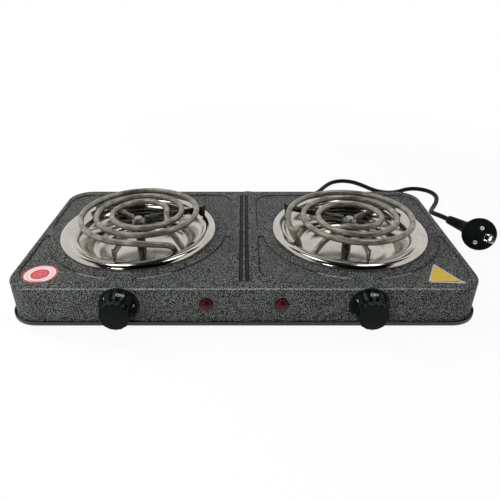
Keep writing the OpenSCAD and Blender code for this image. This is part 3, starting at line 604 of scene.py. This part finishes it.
coilLook = {
    "tube": 6.5, "sides": 28, "outer": 74.5, "inner": 26.5, "rise": 25.5, "wound": 1080, "step": 4,
    "fallTurn": 30, "fallDrop": 5, "leadGap": 16, "blockAt": 84, "leadIn": 5, "leadZ": -15,
    "riser": (69, -11, 2), "riserWay": (0.1, -0.35, 0.93),
    "under": (46, 8.5, 7.75), "underWay": (0.86, -0.2, -0.42),
    # each bend's pull at its start and its end, and its steps
    "climb": (26, 22, 16), "meet": (26, 26, 16), "dive": (34, 20, 20), "leave": (36, 36, 16),
    # angles of the outer end, the inner end and the leads; how far the spiral is set off
    "ends": {-1: (-66, 5, -38), 1: (-170, -108, -142)}, "lay": {-1: (6, 3.5), 1: (2.5, -7)},
}


def spiralPoints(look, side):
    # wound inwards, and dipping where it begins
    outerEnd, innerEnd, leads = look["ends"][side]
    lay = Matrix.Rotation(math.radians(-leads), 3, "Z") @ Vector((*look["lay"][side], 0))
    sweep = look["wound"] - (innerEnd - outerEnd)
    steps = round(sweep / look["step"])
    points = []
    for i in range(steps + 1):
        turn = sweep * i / steps
        radius = look["outer"] - (look["outer"] - look["inner"]) * turn / sweep
        angle = math.radians(outerEnd - leads - turn)
        dip = max(0, 1 - turn / look["fallTurn"])
        height = look["rise"] - look["tube"] / 2 - look["fallDrop"] * dip**2
        points.append(lay + Vector((radius * math.cos(angle), radius * math.sin(angle), height)))
    return points


def coilPath(look, side):
    # from one end in the block up to the spiral, round it, and down below it to the other end
    def bend(name, start, startWay, end, endWay):
        startPull, endPull, steps = look[name]
        return blendCurve(start, startWay * startPull, end, endWay * endPull, steps)

    spiral = spiralPoints(look, side)
    start, finish = spiral[0], spiral[-1]
    startWay = (spiral[1] - start).normalized()
    finishWay = (finish - spiral[-2]).normalized()
    riser, riserWay = Vector(look["riser"]), Vector(look["riserWay"]).normalized()
    under, underWay = Vector(look["under"]), Vector(look["underWay"]).normalized()
    outWay = Vector((1, 0, 0))
    half = look["leadGap"] / 2
    outerLead, innerLead = (Vector((look["blockAt"] - 1, y, look["leadZ"])) for y in (-half, half))
    tip = outWay * (look["leadIn"] + 1)
    return ([outerLead + tip] + bend("climb", outerLead, -outWay, riser, riserWay)
        + bend("meet", riser, riserWay, start, startWay) + spiral[:-1]
        + bend("dive", finish, finishWay, under, underWay)
        + bend("leave", under, underWay, innerLead, outWay) + [innerLead, innerLead + tip])


def makeCoil(side, name, node):
    place = atBurner(side, coilLook["ends"][side][2])
    path = [place @ p for p in coilPath(coilLook, side)]
    piece = sweptTube(name, path, coilLook["tube"] / 2 * mm, coilLook["sides"], "element_sheath")
    # the sheath paints shade by this on the undersides of the turns
    under = piece.data.attributes.new("under", "FLOAT", "POINT")  # how far a spot faces down
    for vert in piece.data.vertices:
        under.data[vert.index].value = max(0, -vert.normal.z)
    finishPiece(piece, "element_sheath", [node], sharpAngle=50)


makeCoil(-1, "leftCoil", "left_heating_coil")
makeCoil(1, "rightCoil", "right_heating_coil")
print("elements made")


def cutAway(piece, cutter):
    cut = piece.modifiers.new("cut", "BOOLEAN")
    cut.operation = "DIFFERENCE"
    cut.solver = "EXACT"
    cut.object = cutter
    applyModifiers(piece)
    bpy.data.objects.remove(cutter)
    return piece


def thicken(piece, thickness):
    # the sheet grows inwards from its outer skin
    skin = piece.modifiers.new("sheet", "SOLIDIFY")
    skin.thickness = thickness
    skin.offset = -1
    skin.use_even_offset = True
    return applyModifiers(piece)


panLook = {
    "radius": 89.5, "crest": 6.5, "rim": 15, "depth": 23, "sheet": 0.6, "lip": 0.5, "rollSteps": 16,
    "steps": 240,
    # in from the crest and down from it, then the shoulder out from the bowl's edge and down
    "slope": [(1.5, 0.1), (2.5, 0.2), (4.5, 0.7)], "shoulder": (2.3, 1.7),
    # the wall's top out from the bowl's edge and down, its foot out from the floor and up, and their pulls
    "wallTop": (0.7, 2.9), "wallFoot": (4.1, 3.3), "topPull": (-28, -7), "footPull": (-6, -28), "wallSteps": 24,
    "wallWide": 22, "floor": [(3.2, 3.0), (-2, 1.1), (-5, 0.7), (-8, 0.6)],
    "notchIn": 48.5, "notchOut": 76.5, "notchHalf": 16.5, "notchLow": -19, "notchHigh": 5.1, "notchRound": 4,
    "boltHole": 2.8,
}


def panOutline(look):
    # upper skin of the sheet, from the rolled rim's edge down into the bowl and to the bolt's hole
    bowl = look["radius"] - look["rim"]
    floor = bowl - look["wallWide"]
    crest, crestZ, floorZ = look["radius"] - look["crest"], look["crest"], -look["depth"]
    wallTop = (bowl + look["wallTop"][0], crestZ - look["wallTop"][1])
    wallFoot = (floor + look["wallFoot"][0], floorZ + look["wallFoot"][1])
    roll = flatArc((crest + look["lip"], look["lip"]), crestZ - look["lip"], 0, 90, look["rollSteps"])
    slope = [(crest - x, crestZ - z) for x, z in look["slope"]]
    slope.append((bowl + look["shoulder"][0], crestZ - look["shoulder"][1]))
    wall = blendCurve(wallTop, look["topPull"], wallFoot, look["footPull"], look["wallSteps"])
    bottom = [(floor + x, floorZ + z) for x, z in look["floor"]]
    return ([(look["radius"], 0)] + roll + slope + [tuple(p) for p in wall] + bottom
        + [(look["boltHole"], bottom[-1][1])])


def slotBox(look):
    # the opening in the wall where the leads go out, with round corners
    low = Vector((look["notchIn"], -look["notchHalf"], look["notchLow"]))
    high = Vector((look["notchOut"], look["notchHalf"], look["notchHigh"]))
    r = look["notchRound"]
    left, right, bottom, top = low.y + r, high.y - r, low.z + r, high.z - r
    corners = [(right, top), (left, top), (left, bottom), (right, bottom)]
    section = []
    for i, corner in enumerate(corners):
        section += flatArc(corner, r, 90 * i, 90 * i + 90, 6)
    count = len(section)
    points = [(x, y, z) for x in (low.x, high.x) for y, z in section]
    faces = [(i, (i + 1) % count, count + (i + 1) % count, count + i) for i in range(count)]
    return points, faces + [tuple(range(count)), tuple(range(2 * count - 1, count - 1, -1))]


def makePan(side, name, node):
    place = atBurner(side)
    piece = lathe(name, panOutline(panLook), panLook["steps"], place)
    thicken(piece, panLook["sheet"] * mm)
    notch = newPiece("notch", *slotBox(panLook))
    notch.data.transform(atBurner(side, coilLook["ends"][side][2]))
    cutAway(tidyMesh(piece), tidyMesh(notch))
    finishPiece(piece, "polished_pan", [node], sharpAngle=50)


makePan(-1, "leftPan", "left_drip_pan")
makePan(1, "rightPan", "right_drip_pan")
print("drip pans made")


casingLook = {
    "width": 470, "depth": 240, "height": 41.2, "corner": 28, "bend": 3, "sheet": 0.8, "flange": 1.9,
    "flatRing": 1.2, "hem": [(0, 2), (0.1, 1.4), (0.6, 0.9)],
    "burnerHole": 77, "shaftHole": 5.3, "lampHole": 5.2, "glandHole": 6.3, "drill": 12, "lampX": 37,
    "glandZ": 22,
    "disc": 101, "panelHalf": 106, "panelGap": 12, "panelCorner": 22, "fillet": 2,
    "grooveX": 3.2, "grooveHalf": 1.5, "grooveReach": 105, "grooveGrowth": 0.7, "tabX": 145, "tab": (16, 12),
    # growth of a pressed outline and its depth there, from the flat plate to the pressed floor
    "press": [(1.4, 0), (0.8, 0), (0.35, -0.2), (0, -0.6), (-0.35, -1), (-0.8, -1.2), (-1.4, -1.2)],
}


def roundRectangle(halfX, halfY, corner):
    points = []
    for x, y, first in ((1, 1, 0), (-1, 1, 90), (-1, -1, 180), (1, -1, 270)):
        centre = (x * (halfX - corner), y * (halfY - corner))
        points += flatArc(centre, corner, first, first + 90, 14)
    return points


def panelOutline(look, grow):
    # pressed panel between a burner's round disc and a corner, counterclockwise
    near, far = look["panelGap"], look["panelHalf"]
    f, big = look["fillet"], look["panelCorner"]
    reach = math.sqrt((look["disc"] + f) ** 2 - (near + f) ** 2)
    lean = math.degrees(math.atan2(near + f, reach))
    return (flatArc((reach, near + f), f + grow, 180 + lean, 270, 5)
        + flatArc((far - f, near + f), f + grow, 270, 360, 5)
        + flatArc((far - big, far - big), big + grow, 0, 90, 14)
        + flatArc((near + f, far - f), f + grow, 90, 180, 5)
        + flatArc((near + f, reach), f + grow, 180, 270 - lean, 5)
        + flatArc((0, 0), look["disc"] - grow, 90 - lean, lean, 26)[1:-1])


def grooveOutline(look, grow):
    half, reach = look["grooveHalf"] + grow * look["grooveGrowth"], look["grooveReach"]
    return flatArc((0, reach), half, 0, 180, 8) + flatArc((0, -reach), half, 180, 360, 8)


def addRing(bm, points, z):
    return [bm.verts.new((x, y, z)) for x, y in points]


def addBand(bm, inner, outer):
    count = len(inner)
    for i in range(count):
        n = (i + 1) % count
        bm.faces.new((inner[i], outer[i], outer[n], inner[n]))


def ringEdges(bm, ring):
    pairs = [(ring[i - 1], ring[i]) for i in range(len(ring))]
    return [bm.edges.get(pair) or bm.edges.new(pair) for pair in pairs]


def addPressing(bm, look, outline, place):
    # stacked rings from the plate down to a pressed floor; returns the edges round the plate's opening
    rings = []
    # the pressed layer weighs each ring for the coat's painted shade, most at the middle of the wall
    pressed = bm.verts.layers.float.get("pressed") or bm.verts.layers.float.new("pressed")
    for grow, z in look["press"]:
        points = [place @ Vector((*p, 0)) for p in outline(look, grow)]
        if place.determinant() < 0:
            points.reverse()
        rings.append(addRing(bm, [p.xy for p in points], z))
        for vert in rings[-1]:
            vert[pressed] = max(0, 1 - abs(grow))
    for outer, inner in zip(rings, rings[1:]):
        addBand(bm, inner, outer)
    bm.faces.new(rings[-1])
    return ringEdges(bm, rings[0])


def addTab(bm, look, x, y):
    # flap that a screw of the base goes into, turned in from the front or the rear wall
    wide, long = look["tab"]
    edge = y * (look["depth"] / 2 - look["sheet"])
    end = edge - y * long
    corners = [(x - wide / 2, edge), (x - wide / 2, end), (x + wide / 2, end), (x + wide / 2, edge)]
    tab = bm.faces.new(addRing(bm, corners, look["sheet"] - look["height"]))
    tab.normal_update()
    if tab.normal.z < 0:
        tab.normal_flip()


def casingSkin(look):
    bm = bmesh.new()
    halfX, halfY, bend, foot = look["width"] / 2, look["depth"] / 2, look["bend"], -look["height"]
    # the wall's section: in from the outline, and up
    wall = [(bend + look["flatRing"], 0)] + [(bend - x, z - bend) for x, z in flatArc((0, 0), bend, 90, 0, 8)]
    wall += [(0, -bend - 1)] + [(-x, foot + z) for x, z in look["hem"]]
    wall.append((-look["flange"], foot + look["sheet"]))
    rings = [addRing(bm, roundRectangle(halfX - i, halfY - i, look["corner"] - i), z) for i, z in wall]
    for inner, outer in zip(rings, rings[1:]):
        addBand(bm, inner, outer)
    openEdges = ringEdges(bm, rings[0])
    for side in (-1, 1):
        centre = Vector((side * burnerX / mm, 0, 0))
        hole = addRing(bm, flatArc(centre.xy, look["burnerHole"], 0, 360, 128)[:-1], 0)
        openEdges += ringEdges(bm, hole)
        for x, y in ((-1, -1), (-1, 1), (1, -1), (1, 1)):
            place = Matrix.Translation(centre) @ Matrix.Diagonal((x, y, 1, 1))
            openEdges += addPressing(bm, look, panelOutline, place)
        openEdges += addPressing(bm, look, grooveOutline, Matrix.Translation((side * look["grooveX"], 0, 0)))
    flat = bmesh.ops.triangle_fill(bm, use_beauty=True, edges=openEdges, normal=(0, 0, 1))
    for face in flat["geom"]:
        if isinstance(face, bmesh.types.BMFace) and face.normal.z < 0:
            face.normal_flip()
    for x in (-look["tabX"], 0, look["tabX"]):
        for y in (-1, 1):
            addTab(bm, look, x, y)
    return bm


def casingHoles(look):
    # drills for the shafts, the lamps and the cord gland
    bm = bmesh.new()
    panel = ((burnerX, look["shaftHole"]), (look["lampX"] * mm, look["lampHole"]))
    drills = [(side * x, frontY, panelZ, r) for x, r in panel for side in (-1, 1)]
    drills += [(0, frontY + look["depth"] * mm, look["glandZ"] * mm, look["glandHole"])]
    for x, y, z, r in drills:
        place = Matrix.Translation((x, y, z)) @ Matrix.Rotation(math.radians(90), 4, "X")
        bmesh.ops.create_cone(bm, cap_ends=True, segments=40, radius1=r * mm, radius2=r * mm,
            depth=look["drill"] * mm, matrix=place)
    return meshPiece("drills", bm)


def makeCasing():
    piece = meshPiece("casingShell", casingSkin(casingLook))
    piece.data.transform(Matrix.Translation((0, centreY, topZ)) @ Matrix.Scale(mm, 4))
    thicken(tidyMesh(piece, outward=False), casingLook["sheet"] * mm)
    cutAway(piece, casingHoles(casingLook))
    finishPiece(piece, "hammered_coat", ["casing"], sharpAngle=50)


makeCasing()
print("casing made")


knobLook = {
    "gap": 1, "skirt": 19.5, "skirtHigh": 3, "skirtRound": 1.2, "coneHigh": 10, "coneOut": 3, "grip": 15,
    "length": 22, "round": 1.6, "flutes": 16, "fluteRadius": 2.4, "fluteDepth": 1, "steps": 320,
    # the cone's line, out from the grip and up from the skirt or down from the grip
    "coneFoot": (2.8, 0.5), "coneTop": [(0.55, 0.8), (0.2, 0.3), (0, 0), (0, -0.5)],
    "crown": [(0.75, 0.25), (0.5, 0.1), (0.25, 0.02), (0, 0)],  # share of the grip, and down from the tip
    "wall": 2.2, "bore": 3.05, "boreEnd": 16.05, "hubIn": 2, "hollowIn": 5, "bevel": 0.4,
    "gripEnd": (1, 0.5, 0.4),  # the grip's last two rings and the middle of its round, below the round
    "marks": ["OFF", "1", "2", "3", "4", "5"], "letter": 4.6, "markStep": 60, "turn": {-1: 17, 1: 5},
    "markTop": (0.6, 1), "markFoot": (2.8, 0.6), "inkLift": 0.03, "inkThick": 0.02, "inkSpread": 0.06,
}


def coneEnds(look):
    # heights where the cone begins on the skirt and ends at the grip
    low = look["gap"] + look["skirtHigh"]
    return low, low + look["coneHigh"]


def knobOutline(look):
    # from the end of the shaft's bore over the hollow back, the skirt and the cone to the middle of the grip
    back, skirt, grip, bore = look["gap"], look["skirt"], look["grip"], look["bore"]
    tip = back + look["length"]
    coneZ, gripZ = coneEnds(look)
    hub, hubZ, hollowZ = bore + look["wall"], back + look["hubIn"], back + look["hollowIn"]
    cone = grip + look["coneOut"]
    hollow = cone - look["wall"]
    skirtRound, tipRound, bevel = look["skirtRound"], look["round"], look["bevel"]
    *gripZs, roundZ = (tip - tipRound - z for z in look["gripEnd"])
    return ([(0, look["boreEnd"]), (bore, look["boreEnd"]), (bore, hubZ), (hub, hubZ), (hub, hollowZ),
        (hollow, hollowZ), (hollow, back), (skirt - bevel, back), (skirt, back + bevel)]
        + flatArc((skirt - skirtRound, coneZ - skirtRound), skirtRound, 0, 90, 6)
        + [(cone, coneZ), (grip + look["coneFoot"][0], coneZ + look["coneFoot"][1])]
        + [(grip + x, gripZ - z) for x, z in look["coneTop"]]
        + [(grip, z) for z in gripZs] + flatArc((grip - tipRound, roundZ), tipRound, 0, 85, 10)
        + [(grip * share, tip - z) for share, z in look["crown"]])


def fluted(radius, height, angle):
    # the grip is cut back where a round flute passes
    look = knobLook
    if height < coneEnds(look)[1] - 0.1 or radius < look["grip"] * 0.8:
        return radius
    step = 2 * math.pi / look["flutes"]
    off = abs((angle % step) - step / 2)
    centre = look["grip"] + look["fluteRadius"] - look["fluteDepth"]
    across = centre * math.sin(off)
    if across >= look["fluteRadius"]:
        return radius
    return min(radius, centre * math.cos(off) - math.sqrt(look["fluteRadius"] ** 2 - across**2))


def markPoint(look, p, angle):
    # a flat letter's point, laid on the knob's cone
    coneZ, gripZ = coneEnds(look)
    top = Vector((look["grip"] + look["markTop"][0], gripZ - look["markTop"][1]))
    foot = Vector((look["grip"] + look["markFoot"][0], coneZ + look["markFoot"][1]))
    slope, middle = (foot - top).normalized(), (top + foot) / 2
    spot = middle + slope * p.y + Vector((-slope.y, slope.x)) * (look["inkLift"] + p.z)
    a = angle + p.x / middle.x
    return Vector((spot.x * math.sin(a), spot.x * math.cos(a), spot.y))


def makeMark(look, word, angle):
    text = bpy.data.curves.new("mark", "FONT")
    text.body = word
    text.size = look["letter"]
    text.align_x = text.align_y = "CENTER"
    text.extrude = look["inkThick"]
    text.offset = look["inkSpread"]
    piece = applyModifiers(addObject("mark", text))
    for vert in piece.data.vertices:
        vert.co = markPoint(look, vert.co, math.radians(angle))
    return piece


def makeKnob(side, name, body, node):
    look = knobLook
    place = atPanel(side * burnerX)
    piece = lathe(name, knobOutline(look), look["steps"], place, fluted)
    finishPiece(piece, "knob_plastic", [node], sharpAngle=35, body=body)
    angles = [look["turn"][side] - look["markStep"] * i for i in range(len(look["marks"]))]
    marks = joinPieces(name + "Marks", [makeMark(look, *mark) for mark in zip(look["marks"], angles)])
    marks.data.transform(place)
    marks.data.materials.append(finishes["markInk"])
    finishPiece(marks, "knob_plastic", body=body)


makeKnob(-1, "leftKnob", "left_dial", "left_knob")
makeKnob(1, "rightKnob", "right_dial", "right_knob")
print("knobs made")


lensLook = {"radius": 6.7, "collar": 2.2, "dome": 4.4, "domeSteps": 12, "barrel": 4.9, "reach": -8, "steps": 64}


def makeLens(side, name, node):
    # a full dome on a short collar, with the barrel through the panel
    look = lensLook
    r = look["radius"]
    outline = [(0, look["reach"]), (look["barrel"], look["reach"]), (look["barrel"], 0), (r, 0)]
    dome = flatArc((0, 0), 1, 0, 90, look["domeSteps"])
    outline += [(r * x, look["collar"] + look["dome"] * z) for x, z in dome]
    piece = lathe(name, outline, look["steps"], atPanel(side * casingLook["lampX"] * mm))
    finishPiece(piece, "red_lens", [node])


edgeLook = {"sharp": 35, "support": 0.25, "bolt": 0.2, "foot": 0.3}


def softCopy(node, name, slotName, soft=0):
    smoothCopy(node, name, slotName, edgeLook["sharp"], soft)


for word, side in (("left", -1), ("right", 1)):
    softCopy(word + "_coil_support", word + "Support", "support_steel", edgeLook["support"])
    softCopy(word + "_centre_bolt", word + "Bolt", "zinc_steel", edgeLook["bolt"])
    makeLens(side, word + "Lens", word + "_lamp_lens")
    for end in ("front", "rear"):
        softCopy(end + "_" + word + "_foot", end + word.title() + "Foot", "foot_rubber", edgeLook["foot"])
softCopy("base_plate", "basePlate", "base_coat")
print("small parts made")


labelLook = {
    "lift": 0.08, "film": 0.06, "start": 2, "ramp": 20,  # radius at the end of the colours' ramp
    "round": (-206, 28), "roundRadius": 17.5, "roundRings": 14, "around": 72,
    "red": (0.55, 0.02, 0.035), "pink": (0.62, 0.13, 0.17), "white": (0.75, 0.7, 0.7),
    # each ring's colour and its inner and outer radius
    "rings": [("pink", 0, 2.2), ("red", 2.6, 4.6), ("pink", 5, 5.8), ("red", 6.2, 9.1), ("white", 9.6, 12),
        ("pink", 12.2, 12.7), ("white", 12.9, 15.2), ("red", 15.6, 18)],
    "corners": [(198.3, 48.5), (180.2, 11.5), (218, 9.6)], "cornerRound": 3.4,
    "yellow": (0.62, 0.42, 0.025), "faded": (0.5, 0.33, 0.02), "silver": (0.42, 0.42, 0.4),
    "shares": (0.25, 0.5, 0.7, 0.84, 1),  # the border is the last of these
}


def ringedSheet(name, middle, outline, shares):
    # flat patch above the plate: its outline, drawn smaller again and again towards the middle
    height = topZ + labelLook["start"] * mm
    points = [(*middle, height)]
    for share in shares:
        points += [(*middle.lerp(p, share), height) for p in outline]
    count = len(outline)
    after = [(k + 1) % count for k in range(count)]
    faces = [(0, 1 + k, 1 + n) for k, n in enumerate(after)]
    for i in range(len(shares) - 1):
        inner, outer = 1 + i * count, 1 + (i + 1) * count
        faces += [(inner + k, outer + k, outer + n, inner + n) for k, n in enumerate(after)]
    return newPiece(name, points, faces)


def drape(piece):
    # lays a flat label on the plate, with its film just above the paint
    wrap = piece.modifiers.new("drape", "SHRINKWRAP")
    wrap.target = bpy.data.objects["casingShell"]
    wrap.wrap_method = "PROJECT"
    wrap.use_project_z = True
    wrap.use_negative_direction = True
    wrap.use_positive_direction = False
    wrap.offset = labelLook["lift"] * mm
    return thicken(applyModifiers(piece), labelLook["film"] * mm)


def roundLabel():
    look = labelLook
    middle = Vector((look["round"][0] * mm, frontY + look["round"][1] * mm))
    f = Finish("ringLabel")
    away = f.length(f.place((1, 1, 0), (*middle, 0))) / (look["ramp"] * mm)
    grain = f.noise(0.4 * mm, detail=2)
    stops = [(r / look["ramp"], look[colour]) for colour, *ends in look["rings"] for r in ends]
    f.surface(baseColor=f.blend(f.span(grain, 0.3, 0.8, 0, 0.25), f.ramp(away, stops), (0.4, 0.3, 0.3)),
        roughness=f.span(grain, 0.3, 0.7, 0.3, 0.4), shine=0.3)
    outline = [Vector(p) for p in flatArc(middle, look["roundRadius"] * mm, 0, 360, look["around"])[:-1]]
    shares = [(i + 1) / look["roundRings"] for i in range(look["roundRings"])]
    piece = drape(ringedSheet("roundLabel", middle, outline, shares))
    piece.data.materials.append(f.material)
    finishPiece(piece, "hammered_coat")


def roundCorners(corners, size):
    # a polygon's outline, with each corner drawn as a curve and each side in fifths
    outline = []
    for i, here in enumerate(corners):
        before, after = corners[i - 1], corners[(i + 1) % len(corners)]
        start = here + (before - here).normalized() * size
        end = here + (after - here).normalized() * size
        nextStart = after + (here - after).normalized() * size
        bend = (0, 0.25, 0.5, 0.75, 1)
        outline += [start * (1 - u) ** 2 + here * 2 * u * (1 - u) + end * u * u for u in bend]
        outline += [end.lerp(nextStart, u) for u in (0.2, 0.4, 0.6, 0.8)]
    return outline


def cornerLabel():
    # plain yellow triangle with round corners and a silver border
    look = labelLook
    corners = [Vector((x * mm, frontY + y * mm)) for x, y in look["corners"]]
    middle = sum(corners, Vector((0, 0))) / 3
    f = Finish("yellowLabel")
    wear = f.noise(3 * mm)
    f.surface(baseColor=f.blend(f.span(wear, 0.3, 0.7), look["yellow"], look["faded"]),
        roughness=f.span(wear, 0.3, 0.7, 0.3, 0.45), shine=0.3)
    g = Finish("silverBorder")
    grain = g.noise(0.5 * mm, detail=2)
    g.surface(baseColor=look["silver"], metallic=0.6, roughness=g.span(grain, 0.3, 0.7, 0.3, 0.45))
    outline = roundCorners(corners, look["cornerRound"] * mm)
    piece = ringedSheet("cornerLabel", middle, outline, look["shares"])
    for finish in (f, g):
        piece.data.materials.append(finish.material)
    for face in piece.data.polygons[-len(outline):]:
        face.material_index = 1
    finishPiece(drape(piece), "hammered_coat")


roundLabel()
cornerLabel()
print("labels laid")


stageLook = {
    "floorReach": 12, "shadowReach": 0.5, "fadeReach": 0.9, "white": 0.93, "floor": (0.9, 0.9, 0.9, 1),
    "flag": [(-1, 0), (-1.6, 0.35), (-0.55, 1.7), (1, 1.7)], "flagHalf": 1.7, "world": 0.35,
}


def whiteSeen(f):
    # 1 where the camera looks, straight or through polished steel and glass
    straight, mirrored, through = (f.add("ShaderNodeLightPath", None, None, f"Is {kind} Ray")
        for kind in ("Camera", "Glossy", "Transmission"))
    direct = f.add("ShaderNodeLightPath", None, None, "Diffuse Depth") < 0.5
    return straight + (mirrored + through) * direct


def makeFloor():
    look = stageLook
    reach = look["floorReach"]
    corners = [(x * reach, y * reach, 0) for x, y in ((-1, -1), (1, -1), (1, 1), (-1, 1))]
    piece = newPiece("floor", corners, [(0, 1, 2, 3)])
    f = Finish("paleFloor")
    away = f.length(f.place(centre=(0, centreY, 0)))
    near = f.span(away, look["shadowReach"], look["fadeReach"], look["white"], 1)
    matt = f.add("ShaderNodeBsdfDiffuse", None, {"Color": look["floor"]})
    glow = f.add("ShaderNodeEmission", None, {"Color": (1, 1, 1, 1), "Strength": 1})
    mixed = f.add("ShaderNodeMixShader", None, {0: near * whiteSeen(f), 1: matt, 2: glow})
    piece.data.materials.append(f.done(mixed))


def makeWorld():
    world = bpy.data.worlds.new("studio")
    scene.world = world
    f = Finish("studio", world)
    dim, white = (f.add("ShaderNodeBackground", None, {"Color": (1, 1, 1, 1), "Strength": strength})
        for strength in (stageLook["world"], 1))
    mixed = f.add("ShaderNodeMixShader", None, {0: whiteSeen(f), 1: dim, 2: white})
    output = f.tree.nodes.new("ShaderNodeOutputWorld")
    f.tree.links.new(mixed.socket, output.inputs["Surface"])


def softLight(name, place, aim, size, power, mirrored=True):
    data = bpy.data.lights.new(name, "AREA")
    data.shape = "RECTANGLE"
    data.size, data.size_y = size
    data.energy = power
    lamp = addObject(name, data)
    lamp.location = place
    lamp.rotation_euler = (Vector(aim) - Vector(place)).to_track_quat("-Z", "Y").to_euler()
    lamp.visible_glossy = mirrored


def makeFlag():
    # black cloth behind the camera and overhead, which the polished steel mirrors
    half = stageLook["flagHalf"]
    points = [(x, *p) for p in stageLook["flag"] for x in (-half, half)]
    piece = newPiece("flag", points, [(0, 1, 3, 2), (2, 3, 5, 4), (4, 5, 7, 6)])
    f = Finish("blackCloth")
    black = f.add("ShaderNodeBsdfDiffuse", None, {"Color": (0.004, 0.004, 0.004, 1)})
    piece.data.materials.append(f.done(black))
    piece.visible_camera = False


makeFloor()
makeWorld()
makeFlag()
onPlate, onFront = (0, 0, 0.03), (0, -0.1, 0.03)
softLight("leftLight", (-0.5, 0, 1.25), onPlate, (0.5, 0.35), 3.5)
softLight("rightLight", (0.5, 0, 1.25), onPlate, (0.5, 0.35), 3)
softLight("keyLight", (-1.25, 0.45, 1), onPlate, (0.5, 0.5), 17, mirrored=False)
softLight("frontLight", (-0.3, -1.2, 0.6), onFront, (0.5, 0.25), 7.5, mirrored=False)
softLight("glintLight", (-0.5, -0.9, 0.42), onFront, (0.2, 0.1), 1.2)
print("stage set")
